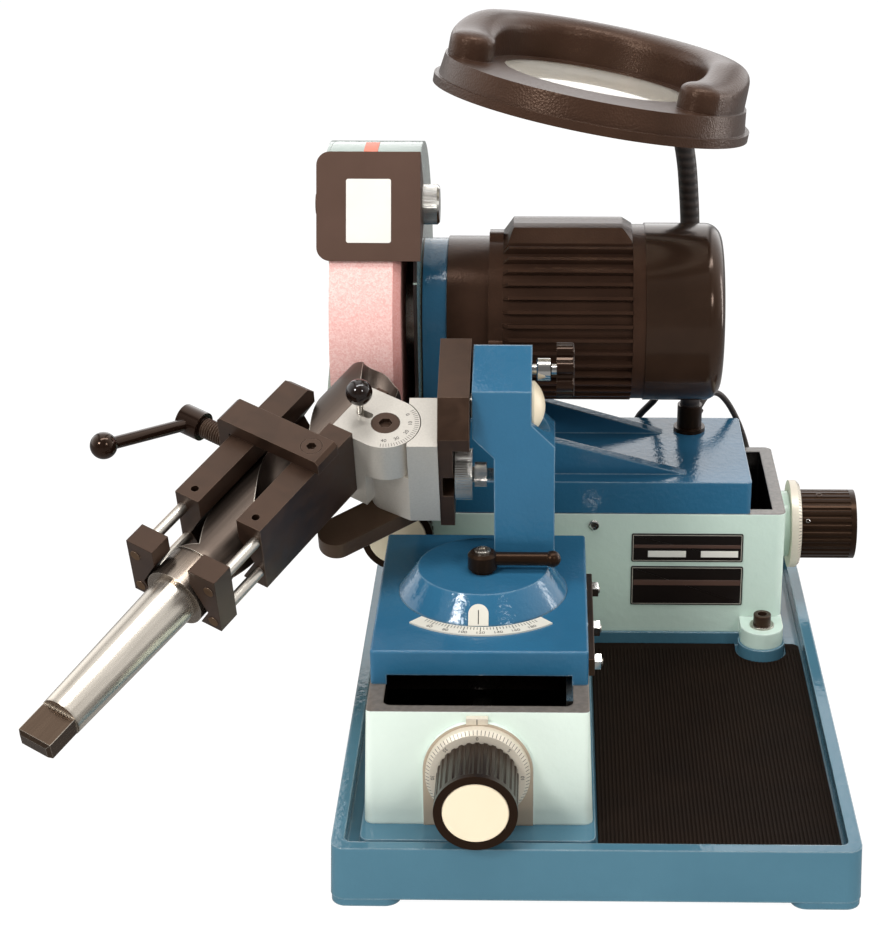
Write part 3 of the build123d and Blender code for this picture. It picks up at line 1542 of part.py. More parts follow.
# Lines of the leaning eye shield, which the wheel guard's side plate stays behind
lean = Vector(sin(radians(shield_lean)), cos(radians(shield_lean)))
foot = Vector(*shield_foot)
crown = foot + lean * shield_height
into = Vector(cos(radians(shield_lean)), -sin(radians(shield_lean))) * shield_sheet
shield_right = carriage_left + free + shield_sheet
cheek_strips = (
    (shield_left, foot + lean * shield_round, foot + lean * (shield_round + shield_cheek)),
    (shield_right - shield_sheet, foot, crown),
)
sheet_normal = Axis((0, 0, 0), (0, -cos(radians(shield_lean)), sin(radians(shield_lean))))
sheet_back = [foot + into * 2 - lean * shield_boss, crown + into * 2]
before_sheet = [(p.X, p.Y) for p in sheet_back] + [(p.X - guard_radius, p.Y) for p in reversed(sheet_back)]

# Wheel guard: band round the wheel, open to the front, on a side plate against the upright
mouth = radians(guard_mouth_bottom)
guard_inner_left = guard_left + guard_plate
guard_plate_left = carriage_left - guard_plate
band_plane = Plane(origin=(0, axis_y, axis_z), x_dir=(1, 0, 0), z_dir=(0, -sin(mouth), cos(mouth)))
mouth_arc = 360 - guard_mouth_bottom + guard_mouth_top
with BuildPart() as wheel_guard:
    with BuildSketch(band_plane):
        with Locations(((guard_inner_left + guard_plate_left) / 2, guard_radius - guard_band / 2)):
            Rectangle(guard_plate_left - guard_inner_left, guard_band)
    revolve(axis=Axis((0, axis_y, axis_z), (1, 0, 0)), revolution_arc=mouth_arc)
    with BuildSketch(axle(guard_plate_left)):
        Circle(guard_radius)
        Circle(guard_hole, mode=Mode.SUBTRACT)
        with Locations((-guard_front - guard_radius / 2, 0)):
            Rectangle(guard_radius, 2 * guard_radius, mode=Mode.SUBTRACT)
        Polygon(*before_sheet, align=None, mode=Mode.SUBTRACT)
        with Locations(shield_pivot):
            Circle(shield_stud_radius + running, mode=Mode.SUBTRACT)
    extrude(amount=guard_plate)
write(wheel_guard, "wheel_guard")

with BuildPart() as guard_cover:
    with BuildSketch(axle(guard_left)):
        Circle(guard_radius)
        mouth_angles = (guard_mouth_top, (guard_mouth_top + guard_mouth_bottom) / 2, guard_mouth_bottom)
        mouth_lines = [(cos(radians(angle)), sin(radians(angle))) for angle in mouth_angles]
        far_points = [(2 * guard_radius * y, 2 * guard_radius * z) for y, z in mouth_lines]
        Polygon((0, 0), *far_points, align=None, mode=Mode.SUBTRACT)
        with Locations(shield_pivot):
            Circle(shield_stud_radius + running, mode=Mode.SUBTRACT)
    extrude(amount=guard_plate)
write(guard_cover, "guard_cover")

# Eye shield: leaning front sheet with two cheeks, pivoted on studs in the guard
with BuildPart() as guard_shield:
    with BuildSketch(axle(shield_left)):
        outline([(p.X, p.Y) for p in (foot, crown, crown + into, foot + into)])
    extrude(amount=shield_right - shield_left)
    fillet(guard_shield.edges().filter_by(sheet_normal).sort_by(Axis.X)[:2], shield_round)
    for cheek_left, strip_foot, strip_top in cheek_strips:
        with BuildSketch(axle(cheek_left)):
            outline([(p.X, p.Y) for p in (strip_foot, strip_top, strip_top + into, strip_foot + into)])
            with Locations(shield_pivot):
                Circle(shield_boss)
            make_hull()
        extrude(amount=shield_sheet)
    with BuildSketch(axle(shield_left)):
        with Locations(shield_pivot):
            Circle(shield_stud_radius)
    extrude(amount=guard_inner_left - shield_left)
    with BuildSketch(axle(shield_left - shield_screw_head)):
        with Locations(shield_pivot):
            Circle(shield_screw_radius)
    extrude(amount=shield_screw_head)
    with BuildSketch(axle(guard_plate_left)):
        with Locations(shield_pivot):
            Circle(shield_stud_radius)
    extrude(amount=shield_right + sliding + shield_nut_height - guard_plate_left)
write(guard_shield, "guard_shield")

with BuildPart() as shield_nut:
    with BuildSketch(axle(shield_right + sliding)):
        with Locations(shield_pivot):
            Circle(shield_nut_radius)
            Circle(shield_stud_radius + running, mode=Mode.SUBTRACT)
    extrude(amount=shield_nut_height)
    chamfer(shield_nut.faces().sort_by(Axis.X)[-1].edges().sort_by(SortBy.LENGTH)[-1], shield_nut_radius / 9)
write(shield_nut, "shield_nut")

# Lamp: socket post, bent neck with a knuckle, round head with ring tube and lens
roll = radians(lamp_roll)
pitch = radians(lamp_pitch)
lamp = Plane(
    origin=lamp_centre,
    x_dir=(cos(roll), 0, -sin(roll)),
    z_dir=(sin(roll) * cos(pitch), cos(roll) * sin(pitch), cos(roll) * cos(pitch)),
)
hinge_x = lamp_rim_radius * cos(radians(knuckle_angle))
hinge_y = lamp_rim_radius * sin(radians(knuckle_angle)) + knuckle_radius + knuckle_gap
hinge_z = lamp_rim_height / 2
post_top = carriage_top + post_height
lead_line = Vector(*lead_boss_line).normalized()
lead_root = Vector(post_x, post_y, carriage_top + lead_boss_radius / 2)


def lamp_side(x):
    """Plane square to the lamp's hinge: sketches in the head's (back, up), extrudes along the hinge."""
    return Plane(origin=lamp.from_local_coords(Vector(x, 0, 0)), x_dir=lamp.y_dir, z_dir=lamp.x_dir)


with BuildPart() as lamp_post:
    with BuildSketch(Plane.XY.offset(carriage_top)):
        with Locations((post_x, post_y)):
            Circle(post_flange_radius)
    extrude(amount=post_flange_height)
    with BuildSketch(Plane.XY.offset(carriage_top)):
        with Locations((post_x, post_y)):
            Circle(post_radius)
    extrude(amount=post_height)
    with BuildSketch(Plane(origin=lead_root + lead_line * lead_boss_radius, z_dir=lead_line)):
        Circle(lead_boss_radius)
    extrude(amount=lead_boss_length - lead_boss_radius)
    with BuildSketch(Plane.XY.offset(post_top)):
        with Locations((post_x, post_y)):
            Circle(neck_tube_radius + running)
    extrude(amount=-post_socket, mode=Mode.SUBTRACT)
write(lamp_post, "lamp_post")

neck_tip = lamp.from_local_coords(Vector(hinge_x, hinge_y, hinge_z - neck_drop))
neck_points = [
    (post_x, post_y, post_top - post_socket + sliding),
    (post_x, post_y, post_top + neck_straight),
    *neck_bends,
    tuple(neck_tip),
]
with BuildPart() as gooseneck:
    with BuildLine() as neck_path:
        FilletPolyline(*neck_points, radius=bend_radii(neck_points))
    with BuildSketch(Plane(origin=neck_path.line @ 0, z_dir=neck_path.line % 0)):
        Circle(neck_tube_radius)
    sweep()
    with BuildSketch(lamp_side(hinge_x - knuckle_width / 2)):
        with Locations((hinge_y, hinge_z)):
            Circle(knuckle_radius)
        with Locations((hinge_y, hinge_z - neck_drop / 2)):
            Rectangle(2 * neck_ball_radius / sqrt(2), neck_drop)
    extrude(amount=knuckle_width)
    with Locations(Location(neck_tip)):
        Sphere(neck_ball_radius)
write(gooseneck, "gooseneck")

# Horseshoe bulge over the far half of the ring tube, with ball ends
bulge_ends = [radians(90 - bulge_swing + turn) for turn in (-bulge_half_angle, bulge_half_angle)]
bulge_start = lamp.x_dir * cos(bulge_ends[0]) + lamp.y_dir * sin(bulge_ends[0])
bulge_rise = bulge_height - lamp_height + lamp_sheet
with BuildPart() as lamp_bulge:
    with BuildSketch(Plane(origin=lamp.origin, x_dir=bulge_start, z_dir=bulge_start.cross(lamp.z_dir))):
        with Locations((bulge_ring, bulge_height)):
            Circle(bulge_radius)
        with Locations((bulge_ring, bulge_height - bulge_rise / 2)):
            Rectangle(2 * bulge_radius, bulge_rise)
    revolve(axis=Axis(lamp.origin, lamp.z_dir), revolution_arc=2 * bulge_half_angle)
    for turn in bulge_ends:
        end_place = (bulge_ring * cos(turn), bulge_ring * sin(turn))
        with BuildSketch(lamp.offset(bulge_height - bulge_rise)):
            with Locations(end_place):
                Circle(bulge_radius)
        extrude(amount=bulge_rise)
        with Locations(lamp * Location((*end_place, bulge_height))):
            Sphere(bulge_radius)

with BuildPart() as lamp_head:
    with BuildSketch(lamp_side(0)):
        outline([
            (lens_radius + lens_seat, lamp_height - lens_drop),
            (lens_radius + lens_seat, lamp_height - lamp_sheet),
            (lamp_top_radius - lamp_sheet, lamp_height - lamp_sheet),
            (lamp_wall_radius - lamp_sheet, lamp_rim_height),
            (lamp_wall_radius - lamp_sheet, 0),
            (lamp_rim_radius, 0),
            (lamp_rim_radius, lamp_rim_height),
            (lamp_wall_radius, lamp_rim_height),
            (lamp_top_radius, lamp_height),
            (lens_radius + running, lamp_height),
            (lens_radius + running, lamp_height - lens_drop + lens_lip),
            (lens_radius - lens_seat, lamp_height - lens_drop + lens_lip),
            (lens_radius - lens_seat, lamp_height - lens_drop),
        ])
    revolve(axis=Axis(lamp.origin, lamp.z_dir))
    with BuildSketch(lamp.offset(ring_tube_height + ring_tube_radius + free)):
        with PolarLocations(ring_radius, 3, start_angle=90):
            Circle(clip_radius)
    extrude(amount=lamp_height - lamp_sheet - ring_tube_height - ring_tube_radius - free)
    for cheek_x in (hinge_x - knuckle_width / 2 - free - fork_cheek, hinge_x + knuckle_width / 2 + free):
        cheek_root = sqrt(lamp_wall_radius**2 - (cheek_x + fork_cheek) ** 2)
        with BuildSketch(lamp_side(cheek_x)):
            with Locations((hinge_y, hinge_z)):
                Circle(knuckle_radius)
            with Locations(((hinge_y + cheek_root) / 2, hinge_z)):
                Rectangle(hinge_y - cheek_root, lamp_rim_height)
        extrude(amount=fork_cheek)
    add(lamp_bulge.part)
write(lamp_head, "lamp_head")

# Lens in the head's collar, and the ring tube under the clips
lens_under = lamp_height - lens_drop + lens_lip
with BuildPart() as lamp_lens:
    with BuildSketch(lamp_side(0)):
        with BuildLine():
            half = lens_radius / 2
            Line((0, lens_under - lens_crown), (0, lens_under + lens_edge + lens_crown))
            ThreePointArc(
                (0, lens_under + lens_edge + lens_crown),
                (half, lens_under + lens_edge + 0.75 * lens_crown),
                (lens_radius, lens_under + lens_edge),
            )
            Line((lens_radius, lens_under + lens_edge), (lens_radius, lens_under))
            Line((lens_radius, lens_under), (lens_radius - lens_seat, lens_under))
            Line((lens_radius - lens_seat, lens_under), (0, lens_under - lens_crown))
        make_face()
    revolve(axis=Axis(lamp.origin, lamp.z_dir))
write(lamp_lens, "lamp_lens")

with BuildPart() as lamp_tube:
    with Locations(lamp * Location((0, 0, ring_tube_height))):
        Torus(ring_radius, ring_tube_radius)
write(lamp_tube, "lamp_tube")


def lead(points, diameter, name):
    """Round lead along straight runs and tangent arcs."""
    radii = bend_radii(points)
    with BuildPart() as cord:
        with BuildLine() as path:
            FilletPolyline(*points, radius=radii)
        with BuildSketch(Plane(origin=path.line @ 0, z_dir=path.line % 0)):
            Circle(diameter / 2)
        sweep()
    length = path.wire().length
    share = cord.part.volume / (pi * diameter**2 / 4 * length)
    print(name, "length", round(length, 1), "volume share", round(share, 3))
    print(name, "radii", [round(r, 1) for r in radii])
    write(cord, name)


gland_y = rear_back + gland_depth / 2
gland_tip = gland_foot + gland_line * (cord_gland_length + sliding)
lead_tip = lead_root + lead_line * (lead_boss_length + sliding)
motor_end = (gland_xs[0], gland_y, gland_top + free)
lamp_end = (gland_xs[1], gland_y, gland_top + free)
lead([tuple(gland_tip), *motor_lead_points, motor_end], motor_lead_diameter, "motor_cord")
lead([tuple(lead_tip), *lamp_lead_points, lamp_end], lamp_lead_diameter, "lamp_cord")
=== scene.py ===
# %% [markdown]
# # A bench drill bit grinder
# This lesson dresses a finished CAD model: a tray with a mat, a cross slide with a swinging drill holder, a motor
# carriage with a pink wheel, and a lamp with a magnifier. The CAD pieces stay where they are. We give each one the
# finish of its real material, and model the small things that the CAD leaves out: scales, screws and plates.

import bpy
from math import atan2, cos, pi, radians, sin
from mathutils import Matrix, Vector


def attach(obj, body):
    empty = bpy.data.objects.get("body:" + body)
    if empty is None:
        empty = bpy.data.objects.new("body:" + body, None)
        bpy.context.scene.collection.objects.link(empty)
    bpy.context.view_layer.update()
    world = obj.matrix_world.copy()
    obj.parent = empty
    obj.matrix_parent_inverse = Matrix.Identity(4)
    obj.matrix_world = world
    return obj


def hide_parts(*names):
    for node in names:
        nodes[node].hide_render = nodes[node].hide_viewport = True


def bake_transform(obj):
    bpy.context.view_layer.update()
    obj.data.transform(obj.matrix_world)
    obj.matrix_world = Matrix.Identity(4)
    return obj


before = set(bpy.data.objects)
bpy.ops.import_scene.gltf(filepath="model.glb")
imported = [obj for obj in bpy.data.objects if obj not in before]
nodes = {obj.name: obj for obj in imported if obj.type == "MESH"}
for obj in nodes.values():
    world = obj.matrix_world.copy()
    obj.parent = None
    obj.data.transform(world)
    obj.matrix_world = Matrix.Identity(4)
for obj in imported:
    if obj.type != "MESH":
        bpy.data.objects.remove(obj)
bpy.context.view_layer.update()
MM = 0.001

# %% [markdown]
# ## The camera
# The photograph looks down at the machine by 23 degrees, almost straight from the front, with a long lens. The
# machine sits left of the lens axis, so the picture is shifted sideways a little, as with a shift lens.

# %% Camera
PHOTO_WIDTH, PHOTO_HEIGHT = 879, 925
FOCAL_PX = 2200
AXIS_PX = (519.0, 462.0)
SENSOR = 36.0
bpy.ops.object.camera_add(location=(-0.0305, -1.3373, 0.7632), rotation=(radians(67.0), 0.0, radians(0.8)))
camera = bpy.context.object
camera.name = "photo_camera"
camera.data.sensor_width = SENSOR
camera.data.lens = FOCAL_PX * SENSOR / PHOTO_HEIGHT
camera.data.shift_x = (PHOTO_WIDTH / 2 - AXIS_PX[0]) / PHOTO_HEIGHT
camera.data.shift_y = (AXIS_PX[1] - PHOTO_HEIGHT / 2) / PHOTO_HEIGHT
bpy.context.scene.camera = camera
print("lens in mm:", round(camera.data.lens, 1))

# %% [markdown]
# ## Nodes and colours
# One function turns a hex colour, as a colour picker shows it, into the linear numbers that Blender works with.
# The others add one kind of shader node each, so that every finish below reads as a short list.

# %% Helpers for nodes
def linear(code):
    """sRGB hex to linear RGBA."""
    channels = [int(code[i:i + 2], 16) / 255 for i in (1, 3, 5)]
    return [c / 12.92 if c <= 0.04045 else ((c + 0.055) / 1.055) ** 2.4 for c in channels] + [1.0]


def plug(tree, socket, value):
    """Sets an input to a number, to a hex colour, or to a link from another node's output."""
    if isinstance(value, bpy.types.NodeSocket):
        tree.links.new(value, socket)
    else:
        socket.default_value = linear(value) if isinstance(value, str) else value


def add_node(tree, kind, inputs=None, **settings):
    """Adds a shader node with its settings and inputs."""
    node = tree.nodes.new("ShaderNode" + kind)
    for name, value in settings.items():
        setattr(node, name, value)
    for key, value in (inputs or {}).items():
        plug(tree, node.inputs[key], value)
    return node


def maths(tree, operation, first, second=0.0):
    """One step of arithmetic or comparison on numbers."""
    return add_node(tree, "Math", {0: first, 1: second}, operation=operation).outputs[0]


def ramp(tree, value, low, high, start, end, **settings):
    """A number that goes from start to end while another goes from low to high."""
    return add_node(tree, "MapRange", {0: value, 1: low, 2: high, 3: start, 4: end}, **settings).outputs[0]


def stops(tree, value, colours):
    """A colour that follows a number through (position, hex colour) stops."""
    node = add_node(tree, "ValToRGB", {0: value})
    elements = node.color_ramp.elements
    for element, (position, code) in zip(elements, (colours[0], colours[-1])):
        element.position, element.color = position, linear(code)
    for position, code in colours[1:-1]:
        elements.new(position).color = linear(code)
    return node.outputs[0]


def axes(tree, vector):
    """The X, Y and Z outputs of a vector."""
    return add_node(tree, "SeparateXYZ", {0: vector}).outputs


print("node helpers ready")

# %% [markdown]
# ## Light, floor and background
# A product photograph on white: a long key light overhead, which draws a bright line along every painted edge, a soft
# box on each side in front, a tall strip on the right for the motor's end, and a white sweep. The camera sees a white
# world. Reflections see a studio that is bright behind the machine and dark on the camera's side, with two narrow
# dark flags, left and right, that draw stripes along polished metal. Diffuse surfaces get an even fill.

# %% World
world = bpy.data.worlds.new("white_studio")
bpy.context.scene.world = world
world.use_nodes = True
sky = world.node_tree
sky.nodes.clear()
FILL = 0.42
FLAGS = [(0.0, "#ffffff"), (0.20, "#ffffff"), (0.27, "#5a5a5a"), (0.34, "#ffffff"), (0.56, "#ffffff"),
         (0.62, "#6a6a6a"), (0.68, "#ffffff"), (1.0, "#ffffff")]
rays = add_node(sky, "LightPath").outputs
direct = maths(sky, "MAXIMUM", rays["Is Camera Ray"], rays["Is Transmission Ray"])
way = axes(sky, add_node(sky, "TexCoord").outputs["Generated"])
studio = ramp(sky, way["Y"], -0.75, 0.45, 0.16, 1.7, interpolation_type="SMOOTHSTEP")
screen = ramp(sky, way["Y"], 0.55, 0.9, 0.0, 0.5, interpolation_type="SMOOTHSTEP")
flags = stops(sky, ramp(sky, way["X"], -1.0, 1.0, 0.0, 1.0), FLAGS)
around = maths(sky, "MULTIPLY", maths(sky, "ADD", studio, screen), flags)
mirrored = add_node(sky, "Mix", {0: rays["Is Glossy Ray"], 2: FILL, 3: around}).outputs[0]
strength = add_node(sky, "Mix", {0: direct, 2: mirrored, 3: 1.0}).outputs[0]
backdrop = add_node(sky, "Background", {"Color": "#ffffff", "Strength": strength}).outputs[0]
add_node(sky, "OutputWorld", {"Surface": backdrop})
bpy.context.scene.view_settings.view_transform = "Standard"
print("world nodes:", len(sky.nodes))

# %% Soft boxes
def soft_box(name, spot, target, size, watts):
    """An area lamp that faces a point; size is (width, height) in metres."""
    bpy.ops.object.light_add(type="AREA", location=spot)
    lamp = bpy.context.object
    lamp.name = name
    lamp.rotation_euler = (Vector(target) - Vector(spot)).to_track_quat("-Z", "Y").to_euler()
    lamp.data.shape = "RECTANGLE"
    lamp.data.size, lamp.data.size_y = size
    lamp.data.energy = watts


soft_box("left_box", (-1.25, -1.45, 1.6), (-0.05, 0.0, 0.15), (0.45, 0.45), 22)
soft_box("right_box", (1.05, -1.6, 1.45), (0.0, 0.0, 0.15), (0.4, 0.4), 8)
soft_box("key_box", (0.1, -0.25, 2.2), (0.0, 0.0, 0.2), (2.0, 0.35), 26)
soft_box("right_strip", (1.3, 0.45, 0.3), (0.1, 0.1, 0.3), (0.15, 0.8), 4)
print("lamps: two soft boxes, a key and a strip")

# %% [markdown]
# The sweep glows for the camera, so that it stays white, and is dim in reflections, so that polished pieces keep a
# dark lower side. A finish is a material with its Principled shader, and paint() sets the shader's sockets by name.

# %% Floor
def paint(shader, **sockets):
    """Sets a shader's sockets, whose names have _ for a space."""
    for name, value in sockets.items():
        plug(shader.id_data, shader.inputs[name.replace("_", " ")], value)


def new_finish(name, **sockets):
    """A material, its node tree and its Principled shader."""
    material = bpy.data.materials.new(name)
    material.use_nodes = True
    shader = material.node_tree.nodes["Principled BSDF"]
    paint(shader, **sockets)
    return material, material.node_tree, shader


floor_paint, tree, shader = new_finish("white_sweep_paper", Roughness=0.9, Base_Color="#f4f2ee",
                                       Emission_Color="#ffffff", Emission_Strength=0.4)
rays = add_node(tree, "LightPath").outputs
direct = maths(tree, "MAXIMUM", rays["Is Camera Ray"], rays["Is Transmission Ray"])
glow = add_node(tree, "Emission", {"Color": "#ffffff", "Strength": 1.05}).outputs[0]
dim = add_node(tree, "Emission", {"Color": "#ffffff", "Strength": 0.35}).outputs[0]
seen = add_node(tree, "MixShader", {0: rays["Is Glossy Ray"], 1: shader.outputs[0], 2: dim}).outputs[0]
blend = add_node(tree, "MixShader", {0: maths(tree, "MULTIPLY", direct, 0.9), 1: seen, 2: glow}).outputs[0]
plug(tree, tree.nodes["Material Output"].inputs["Surface"], blend)
bpy.ops.mesh.primitive_plane_add(size=30.0, location=(0.0, 0.0, -0.0005))
floor = bpy.context.object
floor.name = "floor"
bpy.ops.object.transform_apply(location=True)
floor.data.materials.append(floor_paint)
print("floor", floor.dimensions[:])

# %% [markdown]
# ## The two leads
# Behind the motor two short leads come down to glands on the rear base: one from the motor's terminal, one from
# the lamp's post. Each is a smooth NURBS line over the same route points as the CAD tube, with a round bevel, made
# into a mesh tube. The carriage slides and the glands don't.

# %% Lead rubber
def per_mm(size):
    """Texture scale at which one feature is about this many millimetres."""
    return 1.0 / (size * MM)


def place(tree):
    """Where a point of the object is."""
    return add_node(tree, "TexCoord").outputs["Object"]


def noise(tree, size, detail, **inputs):
    """Noise with features of about this many millimetres."""
    inputs = {"Vector": place(tree), "Scale": per_mm(size), "Detail": detail, **inputs}
    return add_node(tree, "TexNoise", inputs).outputs["Fac"]


def mix(tree, share, first, second, **settings):
    """A colour between two others."""
    return add_node(tree, "Mix", {0: share, 6: first, 7: second}, data_type="RGBA", **settings).outputs[2]


def bump(tree, height, strength, depth, **inputs):
    """The normal of a surface with relief this many millimetres deep."""
    inputs = {"Height": height, "Strength": strength, "Distance": depth * MM, **inputs}
    return add_node(tree, "Bump", inputs).outputs[0]


lead_rubber, tree, shader = new_finish("cable_rubber_matt", Roughness=0.55)
grain = noise(tree, 1.5, 4.0)
paint(shader, Base_Color=mix(tree, grain, "#241b18", "#3a2e29"), Normal=bump(tree, grain, 0.3, 0.05))
print(lead_rubber.name)

# %% Leads as mesh tubes
def select(piece):
    """Selects one object alone and makes it active."""
    bpy.ops.object.select_all(action="DESELECT")
    piece.select_set(True)
    bpy.context.view_layer.objects.active = piece


def mend(weld=True):
    """Welds the active mesh's double points, turns its normals outward and leaves edit mode."""
    bpy.ops.object.mode_set(mode="EDIT")
    bpy.ops.mesh.select_all(action="SELECT")
    if weld:
        bpy.ops.mesh.remove_doubles(threshold=0.01 * MM)
    bpy.ops.mesh.normals_make_consistent(inside=False)
    bpy.ops.object.mode_set(mode="OBJECT")


def lead(name, node, points, diameter):
    """A round lead over route points in millimetres."""
    line = bpy.data.curves.new(name, "CURVE")
    line.dimensions = "3D"
    route = line.splines.new("NURBS")
    route.points.add(len(points) - 1)
    for point, spot in zip(route.points, points):
        point.co = [value * MM for value in spot] + [1.0]
    route.order_u = 3
    route.use_endpoint_u = True
    piece = bpy.data.objects.new(name, line)
    bpy.context.scene.collection.objects.link(piece)
    bpy.context.view_layer.update()
    centreline = bpy.data.meshes.new_from_object(piece.evaluated_get(bpy.context.evaluated_depsgraph_get()))
    line.bevel_depth = diameter / 2 * MM
    line.bevel_resolution = 5
    line.resolution_u = 8
    line.use_fill_caps = True
    select(piece)
    bpy.ops.object.convert(target="MESH")
    mend()
    piece = bpy.context.object
    piece.data.materials.clear()
    piece.data.materials.append(lead_rubber)
    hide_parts(node)
    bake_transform(piece)
    return piece


motor_lead = lead("motor_lead", "motor_cord", [
    (54.0, 173.06, 202.11), (54.5, 181.5, 192.0), (54.0, 187.5, 179.0), (50.5, 191.0, 166.5), (43.5, 194.3, 157.8),
    (36.8, 197.0, 149.0), (32.8, 198.8, 135.0), (31.0, 199.0, 118.0), (31.5, 198.0, 100.3),
], 5.0)
lamp_lead = lead("lamp_lead", "lamp_cord", [
    (81.02, 174.99, 165.24), (84.7, 179.5, 170.9), (90.2, 186.0, 173.4), (96.6, 191.6, 171.0), (102.6, 195.6, 163.8),
    (108.2, 197.8, 154.3), (113.6, 198.9, 142.8), (118.2, 199.3, 130.2), (121.8, 199.0, 116.4), (123.5, 198.0, 100.3),
], 4.5)
print("leads:", motor_lead.name, lamp_lead.name)

# %% [markdown]
# ## Cast iron under gloss enamel
# The tray, the slide, the column and the carriage are iron castings with a thick blue enamel; the tray's paler, greyer
# blue is a lit copy of the same enamel, which is painted light. Sprayed enamel never dries quite flat: it keeps an
# orange peel of a few millimetres, which breaks the reflections up. A bevel in the shading rounds the painted edges by
# about two millimetres, and the paint is paler along them: a painted highlight. The slide's tongue, down in the trough,
# and the end of the carriage's neck, in the gap beside the wheel, are painted black as shade.

# %% Enamel on castings
def face(tree):
    """Which way the surface points."""
    return add_node(tree, "NewGeometry").outputs["Normal"]


def vector(tree, operation, first, second):
    """One step of vector arithmetic; a dot product comes out as a number."""
    key = "Scale" if operation == "SCALE" else 1
    node = add_node(tree, "VectorMath", {0: first, key: second}, operation=operation)
    return node.outputs["Value" if operation == "DOT_PRODUCT" else "Vector"]


def rounding(tree, radius, samples=4):
    """The normal of a surface whose edges are rounded by a radius in millimetres."""
    return add_node(tree, "Bevel", {"Radius": radius * MM}, samples=samples).outputs[0]


def edges(tree, rounded, clear, full, most):
    """A mask of the rounded edges, by how far the rounded normal leans away from the face."""
    return ramp(tree, vector(tree, "DOT_PRODUCT", rounded, face(tree)), clear, full, 0.0, most)


def dress(material, *names):
    """Gives CAD nodes a finish."""
    for name in names:
        nodes[name].data.materials.clear()
        nodes[name].data.materials.append(material)


def enamel(name, main, shade, edge_highlight, peel=3.2, roughness=0.1):
    """Gloss enamel on a casting, with orange peel, faint clouding and a painted highlight along its edges."""
    material, tree, shader = new_finish(name, Roughness=roughness, Specular_IOR_Level=0.5)
    tone = mix(tree, noise(tree, 60, 3.0, Roughness=0.6), shade, main)
    rounded = rounding(tree, 1.8)
    # the paler paint along the rounded edges is a painted highlight
    painted_edge_highlight = maths(tree, "MULTIPLY", edges(tree, rounded, 0.99, 0.75, 0.9), noise(tree, 9, 5.0))
    colour = mix(tree, painted_edge_highlight, tone, edge_highlight)
    ripple = noise(tree, peel, 3.0, Roughness=0.5)
    paint(shader, Base_Color=colour, Normal=bump(tree, ripple, 0.6, 0.4, Normal=rounded))
    return material, tree, shader, colour


BLUE = ("#326a8b", "#295d7c", "#b9d2dd")
blue_enamel = enamel("gloss_enamel_blue_on_cast_iron", *BLUE)[0]
# the tray's paler, greyer blue is a lit copy of the same enamel: painted light
tray_enamel_painted_light = enamel("gloss_enamel_blue_on_tray", "#4c7688", "#436b7d", "#b7cbd2", peel=6.0)[0]
dress(blue_enamel, "swivel_column")
dress(tray_enamel_painted_light, "base_tray")
print(blue_enamel.name, tray_enamel_painted_light.name)

# %% Enamel on the cross slide and the carriage
TONGUE_TOP = 108.9 * MM
NECK_END, NECK_FOOT = -116.0 * MM, 200.0 * MM
slide_enamel, tree, shader, colour = enamel("gloss_enamel_blue_on_slide", *BLUE)
# everything of the slide below its top, the tongue down in the trough, is painted black as shade
tongue_painted_shade = maths(tree, "LESS_THAN", axes(tree, place(tree))["Z"], TONGUE_TOP)
paint(shader, Base_Color=mix(tree, tongue_painted_shade, colour, "#15100e"))
dress(slide_enamel, "front_slide")
carriage_enamel, tree, shader, colour = enamel("gloss_enamel_blue_on_carriage", *BLUE)
spot = axes(tree, place(tree))
# the neck's end beside the wheel, in the shadowed gap, is painted black as shade
left = maths(tree, "LESS_THAN", spot["X"], NECK_END)
neck_painted_shade = maths(tree, "MULTIPLY", left, maths(tree, "GREATER_THAN", spot["Z"], NECK_FOOT))
paint(shader, Base_Color=mix(tree, neck_painted_shade, colour, "#1c1614"))
dress(carriage_enamel, "motor_carriage")
print(slide_enamel.name, carriage_enamel.name)

# %% [markdown]
# ## Mint castings with machined faces
# The two bases are mint outside, the front one paler and the rear one darker: lit and shaded copies of one mint, which
# is painted light and shade. Their top faces, where the slides run, and the face behind the front dial are milled bare,
# grey-beige with a faint grain, and the troughs inside are painted dark as shade. The finish finds these places by
# height and by which way the face points, so one material covers the whole casting.

# %% Mint bases
def within(tree, value, low, high):
    """A mask of the places where a number lies between two limits in millimetres."""
    over = maths(tree, "GREATER_THAN", value, low * MM)
    return maths(tree, "MULTIPLY", over, maths(tree, "LESS_THAN", value, high * MM))


def mint_casting(name, main, shade, top, trough):
    """Mint enamel with a machined top at one height and a trough painted dark as shade; trough is (x0, x1, y0, y1) in
    mm.
    """
    material, tree, shader, colour = enamel(name, main, shade, "#f2f7f2", peel=5.0, roughness=0.22)
    spot = axes(tree, place(tree))
    high = maths(tree, "GREATER_THAN", spot["Z"], (top - 0.5) * MM)
    level = maths(tree, "GREATER_THAN", axes(tree, face(tree))["Z"], 0.9)
    bare = mix(tree, noise(tree, 3, 6.0), "#57504a", "#7d746b")
    # the trough's inside is painted dark as shade
    inside = maths(tree, "MULTIPLY", within(tree, spot["X"], *trough[:2]), within(tree, spot["Y"], *trough[2:]))
    trough_painted_shade = mix(tree, inside, colour, "#120d0b")
    topped = mix(tree, maths(tree, "MULTIPLY", high, level), trough_painted_shade, bare)
    paint(shader, Base_Color=topped)
    return material, tree, shader, topped, spot


DIAL_FACE = -184.3 * MM
# the front base's paler mint and the rear base's darker mint are lit and shaded copies of one paint: painted light and
# shade
front_mint_painted_light, tree, shader, topped, spot = mint_casting(
    "gloss_enamel_mint_front_base", "#e4f0e5", "#dbeade", 109.0, (-132.1, -10.9, -173.1, 37.1))
boss = maths(tree, "LESS_THAN", spot["Y"], DIAL_FACE)
paint(shader, Base_Color=mix(tree, boss, topped, "#b8a894"))
dress(front_mint_painted_light, "front_slide_base")
rear_mint_painted_shade = mint_casting(
    "gloss_enamel_mint_rear_base", "#d0e3d6", "#c5d9cd", 128.0, (-146.2, 128.1, 72.9, 184.1))[0]
dress(rear_mint_painted_shade, "rear_slide_base")
print(front_mint_painted_light.name, rear_mint_painted_shade.name)
